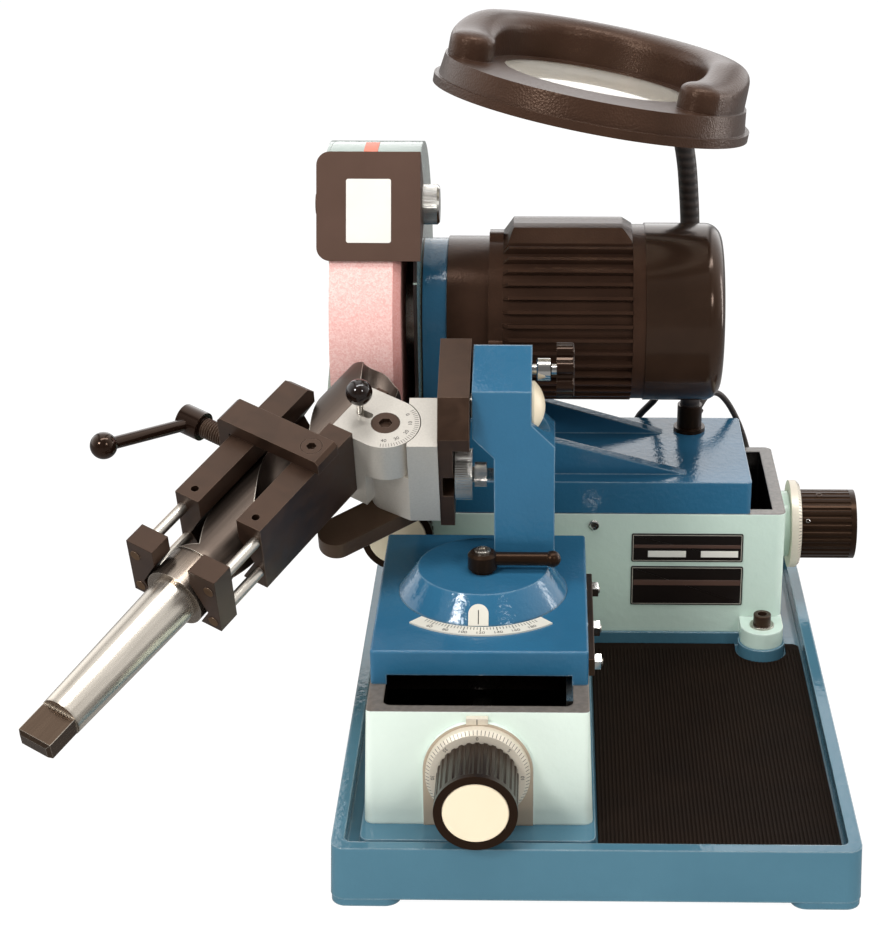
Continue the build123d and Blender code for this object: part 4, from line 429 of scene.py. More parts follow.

# %% [markdown]
# ## Guard sheet
# The wheel guard is bent sheet steel, mint outside. Inside it is painted black as shade, so the finish asks each
# face whether it points towards the wheel's axis. The right plate's front lip, beside the wheel, is painted dark as
# shade too.

# %% Guard enamel
WHEEL_AXIS = (0.0, 0.127, 0.257)
RIGHT_PLATE = -121.0 * MM
guard_mint, tree, shader, colour = enamel("enamel_mint_on_guard_sheet", "#8c9c91", "#819287", "#c0cac0", peel=5.0)
arm = vector(tree, "SUBTRACT", place(tree), WHEEL_AXIS)
arm = vector(tree, "MULTIPLY", arm, (0.0, 1.0, 1.0))
# faces towards the wheel's axis and the right plate's front lip are painted black as shade
inner_painted_shade = maths(tree, "LESS_THAN", vector(tree, "DOT_PRODUCT", arm, face(tree)), -0.02)
beside = maths(tree, "GREATER_THAN", axes(tree, place(tree))["X"], RIGHT_PLATE)
lip_painted_shade = maths(tree, "MULTIPLY", beside, maths(tree, "LESS_THAN", axes(tree, face(tree))["Y"], -0.5))
paint(shader, Base_Color=mix(tree, maths(tree, "MAXIMUM", inner_painted_shade, lip_painted_shade), colour, "#1f1917"))
dress(guard_mint, "wheel_guard", "guard_cover")
print(guard_mint.name)

# %% [markdown]
# ## Ribbed rubber mat
# A moulded black rubber mat. The ribs are in the CAD; the rubber adds a fine grain and a dull, brownish bloom.

# %% Mat rubber
mat_rubber, tree, shader = new_finish("moulded_rubber_ribbed_mat", Roughness=0.7, Specular_IOR_Level=0.08)
paint(shader, Base_Color=mix(tree, noise(tree, 35, 6.0), "#120b07", "#20150d"),
      Normal=bump(tree, noise(tree, 0.8, 2.0), 0.4, 0.08))
dress(mat_rubber, "rubber_mat")
print(mat_rubber.name)

# %% [markdown]
# ## Bare metals
# Turned steel keeps fine tool marks, tumbled aluminium a fine grain, and black-oxide steel is a dark, slightly brown
# skin that is rubbed grey along its edges, a lighter edge that is also a painted highlight. Chrome is nearly a mirror.

# %% Steel and chrome
def turned_metal(name, tint, low, high):
    """Bare metal with fine tool marks that vary its roughness between low and high."""
    material, tree, shader = new_finish(name, Metallic=1.0, Base_Color=tint)
    marks = noise(tree, 0.6, 3.0)
    paint(shader, Roughness=ramp(tree, marks, 0.3, 0.7, low, high), Normal=bump(tree, marks, 0.12, 0.03))
    return material, tree, shader


steel = turned_metal("turned_steel_oiled", "#b7b1a8", 0.22, 0.36)[0]
chrome = turned_metal("polished_chrome", "#dcd9d4", 0.06, 0.12)[0]
dress(steel, "gib_strip", "front_feed_screw", "rear_feed_screw", "swing_pin", "motor_bearings", "motor_rotor",
      "wheel_flanges")
dress(chrome, "lock_sleeve")
print(steel.name, chrome.name)

# %% Satin metals
def satin_metal(name, tint, shade, metallic, roughness):
    """Milled and tumbled light metal: a fine grain that scatters light, so it never mirrors the studio."""
    material, tree, shader = new_finish(name, Metallic=metallic, Roughness=roughness)
    grain = noise(tree, 1.2, 5.0)
    paint(shader, Base_Color=mix(tree, grain, shade, tint),
          Normal=bump(tree, grain, 0.15, 0.03, Normal=rounding(tree, 0.4)))
    return material


dial_silver = satin_metal("satin_anodised_aluminium", "#e6dccb", "#d6ccba", 0.25, 0.4)
block_silver = satin_metal("tumbled_aluminium", "#c6c0b6", "#b2aca3", 0.5, 0.34)
dress(dial_silver, "front_dial", "rear_dial")
dress(block_silver, "angle_bracket", "swivel_block")
print(dial_silver.name, block_silver.name)

# %% Knurled chrome
def knurled_chrome(name, middle, ridges):
    """Chrome with straight knurling round an axis along X; middle is the axis in millimetres (y, z)."""
    material, tree, shader = turned_metal(name, "#d6d2cb", 0.12, 0.2)
    spot = axes(tree, place(tree))
    across = maths(tree, "SUBTRACT", spot["Y"], middle[0] * MM)
    above = maths(tree, "SUBTRACT", spot["Z"], middle[1] * MM)
    angle = maths(tree, "ARCTAN2", above, across)
    ridge = maths(tree, "SINE", maths(tree, "MULTIPLY", angle, float(ridges)))
    rim = maths(tree, "LESS_THAN", maths(tree, "ABSOLUTE", axes(tree, face(tree))["X"]), 0.3)
    paint(shader, Normal=bump(tree, maths(tree, "MULTIPLY", ridge, rim), 1.0, 0.12))
    return material


dress(knurled_chrome("knurled_chrome_shield_nut", (90.0, 345.0), 90), "shield_nut")
dress(knurled_chrome("knurled_chrome_thumb_wheel", (-45.0, 206.0), 96), "stop_screw")
print("knurls: 90 and 96 ridges")

# %% Black oxide
OXIDE_SHEEN = "#dcb69d"
black_oxide, tree, shader = new_finish("black_oxide_steel", Specular_IOR_Level=0.65, Specular_Tint=OXIDE_SHEEN)
mottle = noise(tree, 16, 3.0, Distortion=0.8)
tone = mix(tree, mottle, "#130c08", "#3b2a21")
rounded = rounding(tree, 0.6)
# the paler colour along the edges is rubbed metal and a painted highlight
paint(shader, Base_Color=mix(tree, edges(tree, rounded, 0.985, 0.75, 0.5), tone, "#94806f"),
      Roughness=ramp(tree, mottle, 0.3, 0.7, 0.34, 0.46), Normal=rounded)
dress(black_oxide, "swing_arm", "swivel_screw", "right_v_bar", "clamp_bridge", "bridge_screw", "left_v_bar")
print(black_oxide.name)

# %% [markdown]
# ## The drill and the end stops
# The drill's fluted end is steam-blackened with bright ground edges, its shank is ground bright, and the tang is black
# again; the pale colour along all its edges is both the ground steel and a painted highlight. The end stops are black
# blocks on bright rods. In both, the colour changes with the distance along the drill's axis, so the finish measures
# that distance from the drill's point. The index pin beside them is chrome up to its black ball.

# %% Drill steel
TILT = radians(23.0)
TURN = radians(59.0)
BACK = Vector((0.0, cos(TILT), sin(TILT)))
UP = Vector((0.0, -sin(TILT), cos(TILT)))
DRILL = Vector((cos(TURN), 0.0, 0.0)) + BACK * sin(TURN)
RIGHT = DRILL.cross(UP)
TIP = Vector((-137.0, 25.97, 246.94)) * MM
BANDS = [(0.0, "#544a43"), (0.50, "#4b413a"), (0.535, "#75695e"), (0.571, "#8a7f74"), (0.574, "#cdc5b9"),
         (0.83, "#d3cabd"), (0.836, "#544539"), (1.0, "#544539")]
BANDS_LENGTH = 0.4


def from_tip(tree):
    """The way from the drill's point, in metres."""
    return vector(tree, "SUBTRACT", place(tree), TIP)


drill_steel, tree, shader = new_finish("ground_steel_drill_blackened_flutes", Metallic=0.92)
arm = from_tip(tree)
far = vector(tree, "DOT_PRODUCT", arm, -DRILL)
slip = vector(tree, "SCALE", -DRILL, far)
across = vector(tree, "SUBTRACT", arm, slip)
stretched = vector(tree, "ADD", across, vector(tree, "SCALE", slip, 0.03))
streaks = noise(tree, 1.6, 4.0, Vector=stretched)
bands = stops(tree, ramp(tree, far, 0.0, BANDS_LENGTH, 0.0, 1.0), BANDS)
tone = mix(tree, 0.18, bands, streaks, blend_type="SOFT_LIGHT")
# pale ground steel along the drill's edges, brightened as a painted highlight
edge = edges(tree, rounding(tree, 0.9, samples=6), 0.99, 0.85, 0.75)
polish = ramp(tree, streaks, 0.3, 0.7, 0.2, 0.3)
dull = ramp(tree, far, 195.0 * MM, 215.0 * MM, 0.16, 0.0)
paint(shader, Base_Color=mix(tree, edge, tone, "#d3cabd"), Roughness=maths(tree, "ADD", polish, dull),
      Normal=bump(tree, streaks, 0.05, 0.03))
dress(drill_steel, "drill_bit")
print(drill_steel.name)

# %% End stops and index pin
BLOCK_NEAR, BLOCK_FAR = 210.8 * MM, 226.7 * MM
BALL_FOOT = 37.5 * MM
stop_steel, tree, shader = new_finish("black_oxide_stops_on_bright_rods", Roughness=0.36, Specular_IOR_Level=0.65,
                                      Specular_Tint=OXIDE_SHEEN)
far = vector(tree, "DOT_PRODUCT", from_tip(tree), -DRILL)
rod = maths(tree, "LESS_THAN", far, BLOCK_NEAR)
end = maths(tree, "GREATER_THAN", far, BLOCK_FAR)
tone = mix(tree, noise(tree, 12, 5.0), "#1d130e", "#36261d")
paint(shader, Base_Color=mix(tree, end, mix(tree, rod, tone, "#c4beb4"), "#877463"),
      Metallic=maths(tree, "MAXIMUM", rod, end), Normal=rounding(tree, 0.6))
dress(stop_steel, "right_stop", "left_stop")
pin_chrome, tree, shader = turned_metal("polished_chrome_pin_black_ball", "#dcd9d4", 0.06, 0.12)
stem = maths(tree, "LESS_THAN", vector(tree, "DOT_PRODUCT", from_tip(tree), UP), BALL_FOOT)
paint(shader, Base_Color=mix(tree, stem, "#1a110d", "#dcd9d4"), Metallic=stem)
dress(pin_chrome, "index_pin")
print(stop_steel.name, pin_chrome.name)

# %% [markdown]
# ## Plastics
# Knobs, levers and balls are pressed phenolic, black with a brown cast and a soft gloss. Caps and the pivot cover
# are cream. The lamp's head is a moulding with a leathery texture.

# %% Phenolic, cream and lamp mouldings
def moulding(name, main, shade, grain, depth, roughness, sheen="#ffffff"):
    """Moulded or lacquered surface: a fine texture (grain and depth in mm), uneven colour and a tinted sheen."""
    material, tree, shader = new_finish(name, Roughness=roughness, IOR=1.5, Specular_Tint=sheen)
    cells = add_node(tree, "TexVoronoi", {"Vector": place(tree), "Scale": per_mm(grain)}).outputs["Distance"]
    paint(shader, Base_Color=mix(tree, noise(tree, 25, 4.0), shade, main),
          Normal=bump(tree, cells, 0.4, depth, Normal=rounding(tree, 0.5)))
    return material


WARM = "#d9b8a2"
phenolic = moulding("pressed_phenolic_black", "#21160f", "#170f0a", 1.2, 0.04, 0.28, "#b98f72")
gloss_phenolic = moulding("polished_phenolic_black", "#20140e", "#170e0a", 3.0, 0.01, 0.08, "#e6c4ae")
cream = moulding("moulded_cream_cap", "#eedfc3", "#e8d8ba", 2.0, 0.03, 0.35)
lamp_shell = moulding("textured_abs_lamp_shell", "#3f2b21", "#2c1d15", 1.5, 0.35, 0.34, WARM)
handle_lacquer = moulding("dark_brown_lacquer_on_iron", "#4a3a2d", "#3c2d22", 3.0, 0.1, 0.36, WARM)
fan_plastic = moulding("moulded_fan_plastic", "#3a3433", "#2e2a29", 2.0, 0.05, 0.5)
dress(phenolic, "front_knob", "rear_knob", "turret_lever", "carriage_lock", "cable_glands", "lamp_post")
dress(gloss_phenolic, "star_knob", "clamp_lever")
dress(cream, "front_knob_cap", "rear_knob_cap", "carriage_lock_cap", "pivot_cover")
dress(handle_lacquer, "swing_handle")
dress(fan_plastic, "motor_fan")
print("mouldings ready")

# %% [markdown]
# ## Motor and eye shield
# The motor is die-cast aluminium under black lacquer, the fan cowl and the eye shield are sheet steel under the
# same lacquer. The casting is grainy, the sheets smooth.

# %% Black lacquer
cast_lacquer = moulding("black_lacquer_on_die_casting", "#402d23", "#2c1e17", 1.4, 0.16, 0.26, "#b58f7a")
sheet_lacquer = moulding("black_lacquer_on_sheet_steel", "#35261d", "#271b14", 2.4, 0.03, 0.16, "#e0c4b2")
shield_lacquer = moulding("satin_lacquer_on_eye_shield", "#554139", "#49372f", 2.0, 0.05, 0.5, WARM)
dress(cast_lacquer, "motor_front_shield", "motor_body", "motor_rear_shield")
dress(sheet_lacquer, "fan_cowl")
dress(shield_lacquer, "guard_shield")
print(cast_lacquer.name, sheet_lacquer.name, shield_lacquer.name)

# %% [markdown]
# ## Grinding wheel
# Pink fused alumina: sugary grains of about a millimetre in a porous bond. Grains show as pale and dark specks, and
# the pores as tiny pits. The bevel on the right edge faces away from the light and is painted a deeper red as shade.

# %% Bonded abrasive
abrasive, tree, shader = new_finish("pink_fused_alumina_bonded", Roughness=0.85)
grains = add_node(tree, "TexVoronoi", {"Vector": place(tree), "Scale": per_mm(0.9)}).outputs
speck = add_node(tree, "SeparateColor", {0: grains["Color"]}).outputs[0]
tone = mix(tree, speck, "#eeb3ab", "#fbd3cc")
tone = mix(tree, ramp(tree, noise(tree, 18, 3.0), 0.45, 0.75, 0.0, 0.18), tone, "#e6a59d")
# the right bevel, which faces away from the light, is painted darker as shade
bevel = ramp(tree, axes(tree, face(tree))["X"], 0.15, 0.3, 0.0, 0.6)
paint(shader, Base_Color=mix(tree, bevel, tone, "#c97a72"), Normal=bump(tree, grains["Distance"], 0.5, 0.2))
dress(abrasive, "grinding_wheel")
print(abrasive.name)

# %% [markdown]
# ## Lamp glass, ring tube, neck and scale
# The magnifier is clear glass whose pale cream clouds are a painted reflection, the ring tube is frosted white, and the
# turret's scale is a strip of white-lacquered aluminium. The neck is a steel hose in a ribbed black sleeve, its grooves
# painted darker as shade.

# %% Glass, tube, neck and scale
def clouded(name, node, size, first, second, **sockets):
    """A pale surface with soft clouds of this many millimetres."""
    material, tree, shader = new_finish(name, **sockets)
    paint(shader, Base_Color=mix(tree, noise(tree, size, 4.0), first, second))
    dress(material, node)
    return material


# the lens's pale cream clouds are a painted reflection on glass
clouded("glass_with_painted_reflection", "lamp_lens", 40, "#e4dccb", "#fffcf4", Roughness=0.03, IOR=1.5, Transmission_Weight=0.55)
clouded("frosted_lamp_tube", "lamp_tube", 5, "#ece9e0", "#f7f5ee", Roughness=0.5)
scale_white = clouded("white_lacquer_on_scale", "turret_scale", 12, "#d3cdbf", "#e2ddd0", Roughness=0.35)
RIB_WAVE = 3.0 * 3.18 * 2
neck_sleeve, tree, shader = new_finish("ribbed_rubber_neck_sleeve", Roughness=0.5)
ribs = add_node(tree, "TexWave", {"Vector": place(tree), "Scale": per_mm(RIB_WAVE), "Distortion": 0.0},
                bands_direction="Z").outputs["Fac"]
# the grooves between the ribs are painted darker as shade, the crests lighter
paint(shader, Base_Color=mix(tree, ribs, "#1f1714", "#352a25"), Normal=bump(tree, ribs, 0.8, 0.35))
dress(neck_sleeve, "gooseneck")
print(scale_white.name, neck_sleeve.name)

# %% [markdown]
# ## Modelling small pieces
# The pieces below are too small for the CAD: marks, plates, screws. Each starts from a primitive at the origin, is
# worked in edit mode, and is then set into its seat on the machine: a point, the way it faces and the way its
# right side points. Applying the transform at once leaves the object unmoved, with its place in the mesh.

# %% Selecting and seating
def seat(origin, out, right):
    """Matrix of a place on the machine: origin in millimetres, local z faces out, local x points right."""
    out, right = Vector(out).normalized(), Vector(right).normalized()
    turn = Matrix((right, out.cross(right), out)).transposed().to_4x4()
    return Matrix.Translation(Vector(origin) * MM) @ turn


def settle(piece, matrix, body, material):
    """Sets a modelled piece into its seat, gives it a finish and lets it ride on a body."""
    piece.matrix_world = matrix
    select(piece)
    bpy.ops.object.transform_apply(location=True, rotation=True, scale=True)
    piece.data.materials.clear()
    piece.data.materials.append(material)
    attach(piece, body)
    return piece


print("tools for seats ready")

# %% [markdown]
# ## The lamp's housing
# The CAD housing is a round shell with a horseshoe tube on top, as high at its ends as at its back. The real one is
# flatter on top and dips towards its two ends. We take the CAD shell as a blank, lay it down in the lamp's own frame,
# and press only the horseshoe: lower and squarer everywhere, and lowest at its ends.

# %% Lamp housing
LAMP = seat((-3.0, 110.0, 405.6), (0.184845, 0.092474, 0.978303), (0.982613, 0.0, -0.185667))
PLATE, CREST, RING = 20.0 * MM, 50.0 * MM, 85.5 * MM
ENDS = [radians(90.0 - 17.0 - 113.0), radians(90.0 - 17.0 + 113.0)]
DIP = 60.0 * MM
LOW_END, FULL = 0.6, 0.93
SQUARE = 0.65
housing = bpy.data.objects.new("lamp_housing", nodes["lamp_head"].data.copy())
bpy.context.scene.collection.objects.link(housing)
housing.data.transform(LAMP.inverted())
for vertex in housing.data.vertices:
    if vertex.co.z > PLATE + 0.3 * MM:
        angle = atan2(vertex.co.y, vertex.co.x)
        inside = [(angle - ENDS[0]) % (2 * pi), (ENDS[1] - angle) % (2 * pi)]
        arc = RING * (min(inside) if max(inside) < ENDS[1] - ENDS[0] else 0.0)
        share = min(arc / DIP, 1.0)
        height = LOW_END + (FULL - LOW_END) * share * share * (3.0 - 2.0 * share)
        rise = (vertex.co.z - PLATE) / (CREST - PLATE)
        if rise > 0.5:
            rise = 0.5 + 0.5 * min(2.0 * rise - 1.0, 1.0) ** SQUARE
        vertex.co.z = PLATE + (CREST - PLATE) * rise * height
select(housing)
bpy.ops.mesh.customdata_custom_splitnormals_clear()
mend()
bpy.ops.object.shade_smooth_by_angle(angle=radians(35))
print("housing height in mm:", round(housing.dimensions.z / MM, 1))
settle(housing, LAMP, "lamp", lamp_shell)
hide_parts("lamp_head")

# %% [markdown]
# ## Bars and marks
# A bar is a cube with soft edges, and serves as tick, strip and plate. Marks are copied from one pattern, each with
# its own mesh, set into their seats and joined into one piece.

# %% Bars and marks
def start(kind, name, **settings):
    """Adds a primitive at the origin."""
    getattr(bpy.ops.mesh, "primitive_" + kind + "_add")(**settings)
    piece = bpy.context.object
    piece.name = name
    return piece


def pick(piece, kind, test):
    """Enters edit mode with the faces (by normal and centre) or edges (by their two ends) that pass a test."""
    bpy.ops.object.mode_set(mode="EDIT")
    bpy.ops.mesh.select_mode(type=kind)
    bpy.ops.mesh.select_all(action="DESELECT")
    bpy.ops.object.mode_set(mode="OBJECT")
    if kind == "FACE":
        for side in piece.data.polygons:
            side.select = test(side.normal, side.center)
    else:
        points = piece.data.vertices
        for edge in piece.data.edges:
            edge.select = test(points[edge.vertices[0]].co, points[edge.vertices[1]].co)
    bpy.ops.object.mode_set(mode="EDIT")


def bar(name, size, corner=0.0, edge=0.1):
    """A flat bar on its back at z = 0; size is (across, up, thick), with round corners and soft front edges, in mm."""
    piece = start("cube", name, size=1.0)
    bpy.ops.object.mode_set(mode="EDIT")
    bpy.ops.mesh.select_all(action="SELECT")
    bpy.ops.transform.translate(value=(0.0, 0.0, 0.5))
    bpy.ops.transform.resize(value=[length * MM for length in size], center_override=(0.0, 0.0, 0.0))
    if corner:
        pick(piece, "EDGE", lambda p, q: abs(p.z - q.z) > size[2] * MM / 2)
        bpy.ops.mesh.bevel(offset=corner * MM, segments=6)
    pick(piece, "EDGE", lambda p, q: min(p.z, q.z) > size[2] * MM * 0.9)
    bpy.ops.mesh.bevel(offset=edge * MM, segments=2)
    bpy.ops.object.mode_set(mode="OBJECT")
    return piece


def number(text, height, matrix):
    """A plain number as a flat mesh in its seat, with its height in mm."""
    bpy.ops.object.text_add()
    piece = bpy.context.object
    piece.data.body = text
    piece.data.size = height * 1.4 * MM
    piece.data.align_x, piece.data.align_y = "CENTER", "CENTER"
    piece.data.extrude = 0.05 * MM
    bpy.ops.object.convert(target="MESH")
    bpy.context.object.matrix_world = matrix
    return bpy.context.object


def ticks(size, matrices):
    """One modelled tick set into many seats, each copy with its own mesh."""
    pattern = bar("tick", size, edge=0.02)
    placed = []
    for matrix in matrices:
        twin = pattern.copy()
        twin.data = pattern.data.copy()
        bpy.context.scene.collection.objects.link(twin)
        twin.matrix_world = matrix
        placed.append(twin)
    bpy.data.objects.remove(pattern)
    return placed


def joined(name, pieces, body, material):
    """Makes one piece of many marks that already sit in their places."""
    bpy.ops.object.select_all(action="DESELECT")
    for piece in pieces:
        piece.select_set(True)
    bpy.context.view_layer.objects.active = pieces[0]
    bpy.ops.object.join()
    whole = bpy.context.object
    whole.name = name
    return settle(whole, whole.matrix_world.copy(), body, material)


print("bars and marks ready")

# %% [markdown]
# ## Dials and scales
# Both feed dials turn 4 mm of travel into 80 ticks on their bevel, with a plain number at every tenth. The turret's
# scale and the round end of the swivel block are divided in the same way. All marks are filled with black ink.

# %% Ink and dial marks
ink = moulding("black_engraving_ink", "#241c18", "#17110e", 0.5, 0.01, 0.5)
DIVISIONS = 80
TICK_RADIUS, NUMBER_RADIUS = 30.5, 27.3


def dial_marks(name, body, centre, out, side):
    """Ticks on a dial's front bevel and numbers on its face; centre is the middle of the face, in mm."""
    centre, out, side, up = Vector(centre), Vector(out), Vector(side), Vector((0.0, 0.0, 1.0))
    seats, marks = [], []
    for step in range(DIVISIONS):
        angle = radians(90.0 - 360.0 / DIVISIONS * step)
        reach = side * cos(angle) + up * sin(angle)
        along = reach.cross(out)
        seats.append(seat(centre + reach * TICK_RADIUS - out * 1.25, reach + out, along))
        if step % 10 == 0:
            marks.append(number(str(step // 2), 2.3, seat(centre + reach * NUMBER_RADIUS, out, -along)))
    return joined(name, marks + ticks((0.34, 3.1, 0.06), seats), body, ink)


front_marks = dial_marks("front_dial_marks", "front_feed", (-71.5, -192.1, 70.0), (0, -1, 0), (1, 0, 0))
rear_marks = dial_marks("rear_dial_marks", "rear_feed", (152.6, 127.0, 94.0), (1, 0, 0), (0, 1, 0))
print("dial marks:", len(front_marks.data.polygons), len(rear_marks.data.polygons), "faces")

# %% Turret scale marks
TURRET = Vector((-71.5, -60.0, 133.0))
marks, short, tall = [], [], []
for step in range(-18, 19):
    angle = radians(2.0 * step)
    reach, along = Vector((sin(angle), -cos(angle), 0.0)), (cos(angle), sin(angle), 0.0)
    if step % 5 == 0:
        tall.append(seat(TURRET + reach * 59.2, (0, 0, 1), along))
        marks.append(number(str(120 + 4 * step), 2.9, seat(TURRET + reach * 64.0, (0, 0, 1), along)))
    else:
        short.append(seat(TURRET + reach * 58.4, (0, 0, 1), along))
marks += ticks((0.4, 3.2, 0.06), short) + ticks((0.5, 4.8, 0.06), tall)
scale_marks = joined("turret_scale_marks", marks, "cross_slide", ink)
print("turret scale:", len(scale_marks.data.polygons), "faces")

# %% Swivel block marks
BLOCK_TOP = TIP / MM - DRILL * 60.6 + RIGHT * 41.5 + UP * 28.0
marks, seats = [], []
for step in range(-13, 14):
    angle = radians(5.0 * step)
    reach = RIGHT * cos(angle) - DRILL * sin(angle)
    seats.append(seat(BLOCK_TOP + reach * 19.9, UP, UP.cross(reach)))
    if step % 6 == 0:
        marks.append(number(str(10 * (step // 6 + 2)), 2.6, seat(BLOCK_TOP + reach * 15.8, UP, UP.cross(reach))))
block_marks = joined("swivel_block_marks", marks + ticks((0.3, 2.8, 0.06), seats), "swivel", ink)
print("swivel block:", len(block_marks.data.polygons), "faces")

# %% [markdown]
# ## Index tabs
# A milled flat over the front dial and a white arch on the turret's cone each carry one black index line.

# %% Tabs
FRONT, ASIDE = (0, -1, 0), (1, 0, 0)
CONE_OUT, CONE_UP = Vector((0.0, -0.797, 0.604)), Vector((0.0, 0.604, 0.797))
ARCH_FOOT = Vector((-73.0, -114.5, 132.0)) + CONE_UP * 8.2 - CONE_OUT * 0.5
settle(bar("dial_index_tab", (13.2, 4.4, 3.8), corner=0.4, edge=0.3), seat((-71.8, -180.9, 104.3), FRONT, ASIDE),
       "base", dial_silver)
settle(bar("dial_index_line", (0.5, 3.6, 0.06), edge=0.02), seat((-71.8, -184.7, 104.3), FRONT, ASIDE), "base", ink)
arch = start("circle", "turret_index_arch", vertices=48, radius=6.4 * MM, fill_type="NGON")
pick(arch, "EDGE", lambda p, q: max(p.y, q.y) < 0.1 * MM)
bpy.ops.transform.translate(value=(0.0, -7.0 * MM, 0.0))
bpy.ops.mesh.select_all(action="SELECT")
bpy.ops.mesh.bisect(plane_co=(0.0, -7.6 * MM, 0.0), plane_no=(0.0, -1.0, 0.0), clear_outer=True)
bpy.ops.mesh.select_all(action="SELECT")
bpy.ops.mesh.extrude_region_move(TRANSFORM_OT_translate={"value": (0.0, 0.0, 1.1 * MM)})
mend(weld=False)
pick(arch, "EDGE", lambda p, q: min(p.z, q.z) > 1.0 * MM)
bpy.ops.mesh.bevel(offset=0.2 * MM, segments=2)
bpy.ops.object.mode_set(mode="OBJECT")
settle(arch, seat(ARCH_FOOT, CONE_OUT, ASIDE), "turret", scale_white)
settle(bar("turret_index_line", (0.6, 9.0, 0.06), edge=0.02),
       seat(ARCH_FOOT + CONE_OUT * 1.08 - CONE_UP * 2.0, CONE_OUT, ASIDE), "turret", ink)
print("tabs: dial and", arch.name)

# %% [markdown]
# ## Bare plates and the blank label
# Two black plates with a narrow pale border sit on the rear base, and a white film label on the eye shield. On the
# real machine they are printed. Here they stay bare: a plain band, two blank fields, nothing to read.

# %% Plates
plate_black = moulding("black_anodised_plate", "#1d1512", "#130e0c", 0.8, 0.01, 0.3)
plate_pale = satin_metal("etched_aluminium_border", "#d9d3c6", "#c9c2b4", 0.4, 0.35)
plate_band = moulding("brown_band_on_plate", "#5b4238", "#4d372e", 1.0, 0.01, 0.4)
film = moulding("white_film_label", "#ebe8e0", "#e2ded4", 1.5, 0.01, 0.35)
WALL, PLATE_FACE = 67.0, 66.2
BORDER_IN, BORDER = 1.25, 0.45


def plate(name, middle, width, height):
    """A black plate on the rear base with a pale line set in from its edge; middle is (x, z) in mm."""
    piece = bar(name, (width, height, 0.8), corner=1.2, edge=0.15)
    pick(piece, "FACE", lambda normal, centre: normal.z > 0.99)
    bpy.ops.mesh.inset(thickness=0.7 * MM)
    bpy.ops.mesh.inset(thickness=0.5 * MM)
    bpy.ops.object.mode_set(mode="OBJECT")
    settle(piece, seat((middle[0], WALL, middle[1]), FRONT, ASIDE), "base", plate_black)
    piece.data.materials.append(plate_pale)
    edge_x, edge_z = width / 2 - BORDER_IN, height / 2 - BORDER_IN
    for side in piece.data.polygons:
        x, z = abs(side.center.x / MM - middle[0]), abs(side.center.z / MM - middle[1])
        upright = edge_x < x < edge_x + BORDER and z < edge_z + 0.5
        level = edge_z < z < edge_z + BORDER and x < edge_x + 0.5
        side.material_index = 1 if (upright or level) and side.normal.y < -0.9 else 0


plate("upper_plate", (68.4, 102.25), 78.4, 21.7)
plate("lower_plate", (68.7, 72.7), 79.2, 30.2)
for name, size, x, z, finish in (
        ("upper_band", (75.0, 2.6, 0.2), 68.4, 103.4, plate_band),
        ("lower_band", (75.8, 4.2, 0.2), 68.7, 75.2, plate_band),
        ("left_field", (26.8, 4.9, 0.25), 54.2, 97.6, film),
        ("right_field", (26.2, 4.9, 0.25), 91.2, 97.6, film)):
    settle(bar(name, size, edge=0.05), seat((x, PLATE_FACE, z), FRONT, ASIDE), "base", finish)
LEAN = radians(20)
sheet_out, sheet_up = Vector((0.0, -cos(LEAN), sin(LEAN))), Vector((0.0, sin(LEAN), cos(LEAN)))
settle(bar("shield_label", (29.6, 41.9, 0.25), corner=1.5, edge=0.08),
       seat(Vector((-148.8, 44.4, 319.5)) + sheet_up * 32.9, sheet_out, ASIDE), "shield", film)
print("plates and label ready")

# %% [markdown]
# ## Screws and small hardware
# Black socket screws hold the rear base down, hex nuts set the gib through a dark strip, and a chrome plug closes an
# oil hole. The clamp's spindle shows its thread, and an orange mark is painted on the guard.

# %% Screws
def screw(name, radius, height, socket, where, body, material, sides=32, edge=0.5):
    """A round or hexagonal head with a sunk socket, settled where seat() says: (origin, out, right), in mm."""
    piece = start("cylinder", name, vertices=sides, radius=radius * MM, depth=height * MM,
                  location=(0.0, 0.0, height / 2 * MM))
    bpy.ops.object.transform_apply(location=True)
    pick(piece, "EDGE", lambda p, q: min(p.z, q.z) > height * MM * 0.9)
    bpy.ops.mesh.bevel(offset=edge * MM, segments=3)
    pick(piece, "FACE", lambda normal, centre: normal.z > 0.99 and centre.z > height * MM * 0.9)
    bpy.ops.mesh.inset(thickness=(radius - edge - socket) * MM)
    bpy.ops.mesh.extrude_region_move(TRANSFORM_OT_translate={"value": (0.0, 0.0, -height * 0.45 * MM)})
    bpy.ops.object.mode_set(mode="OBJECT")
    bpy.ops.object.shade_smooth_by_angle(angle=radians(35))
    return settle(piece, seat(*where), body, material)


ABOVE, BEHIND = (0, 0, 1), (0, 1, 0)
for x, y in ((122.0, 54.0), (122.0, 200.0), (-131.0, 200.0)):
    screw("lug_washer", 8.6, 1.4, 6.0, ((x, y, 48.0), ABOVE, ASIDE), "base", steel, edge=0.3)
    screw("lug_screw", 6.2, 8.5, 3.4, ((x, y, 48.6), ABOVE, ASIDE), "base", black_oxide)
settle(bar("gib_cover_strip", (124.0, 12.2, 4.2), corner=1.0, edge=0.6), seat((-4.0, -50.0, 102.4), ASIDE, BEHIND),
       "base", black_oxide)
for y in (-105.0, -59.0, -2.0):
    screw("gib_nut", 5.6, 4.2, 2.6, ((0.2, y, 103.0), ASIDE, BEHIND), "base", chrome, sides=6, edge=0.4)
    screw("gib_stud", 2.5, 5.4, 1.2, ((0.0, y, 103.0), ASIDE, BEHIND), "base", steel, sides=24, edge=0.4)
screw("oil_plug", 3.8, 1.6, 1.9, ((2.5, 67.0, 119.5), FRONT, ASIDE), "base", chrome, edge=0.7)
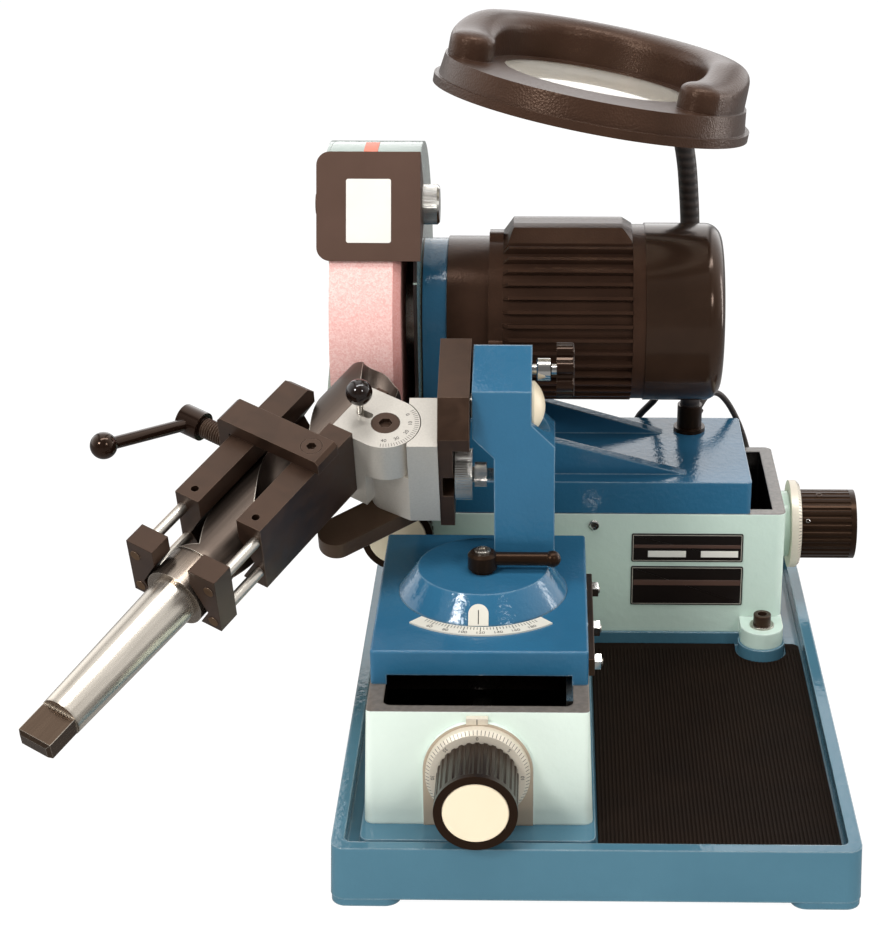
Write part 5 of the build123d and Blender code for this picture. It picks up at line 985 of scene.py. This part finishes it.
screw("lever_screw", 5.2, 1.6, 2.6, ((-71.5, -67.5, 162.0), ABOVE, ASIDE), "turret_lever", steel, edge=0.4)
for x, angle, radius, finish in ((166.4, 99.5, 2.4, black_oxide), (157.2, 151.2, 1.5, chrome)):
    reach = Vector((0.0, cos(radians(angle)), sin(radians(angle))))
    screw("rear_knob_screw", radius, 1.2, radius * 0.6, (Vector((x, 127.0, 94.0)) + reach * 24.1, reach, ASIDE),
          "rear_feed", finish, edge=0.2)
print("screws: three on lugs, three gib nuts with studs")

# %% Spindle thread
RIDGES, RIDGE_RISE, RIDGE_SWELL = 10, 0.9 * MM, 1.12
thread = start("circle", "clamp_spindle_thread", vertices=32, radius=6.05 * MM, fill_type="NGON")
pick(thread, "FACE", lambda normal, centre: True)
for swell in (RIDGE_SWELL, 1 / RIDGE_SWELL) * RIDGES:
    bpy.ops.mesh.extrude_region_move(TRANSFORM_OT_translate={"value": (0.0, 0.0, RIDGE_RISE)})
    bpy.ops.transform.resize(value=(swell, swell, 1.0))
mend(weld=False)
bpy.ops.object.shade_smooth_by_angle(angle=radians(25))
settle(thread, seat(TIP / MM - DRILL * 113.0 - RIGHT * 63.0 + UP * 14.0, RIGHT, UP), "clamp_lever", black_oxide)
print("thread faces:", len(thread.data.polygons))

# %% Orange mark on the guard
orange = moulding("orange_paint_mark", "#d9663c", "#c9582f", 1.5, 0.02, 0.4)
mark = start("plane", "guard_mark", size=1.0)
bpy.ops.object.mode_set(mode="EDIT")
bpy.ops.mesh.select_all(action="SELECT")
bpy.ops.transform.resize(value=(9.5 * MM, 0.3 * MM, 1.0))
bpy.ops.transform.translate(value=(0.0, 118.13 * MM, 0.0))
bpy.ops.mesh.spin(steps=13, angle=radians(13.0), center=(0.0, 0.0, 0.0), axis=(1.0, 0.0, 0.0))
mend(weld=False)
wheel_middle = Matrix.Translation(Vector((-151.2, 127.0, 257.0)) * MM)
settle(mark, wheel_middle @ Matrix.Rotation(radians(97.0), 4, "X"), "carriage", orange)
print("mark:", [round(v / MM, 1) for v in mark.dimensions])
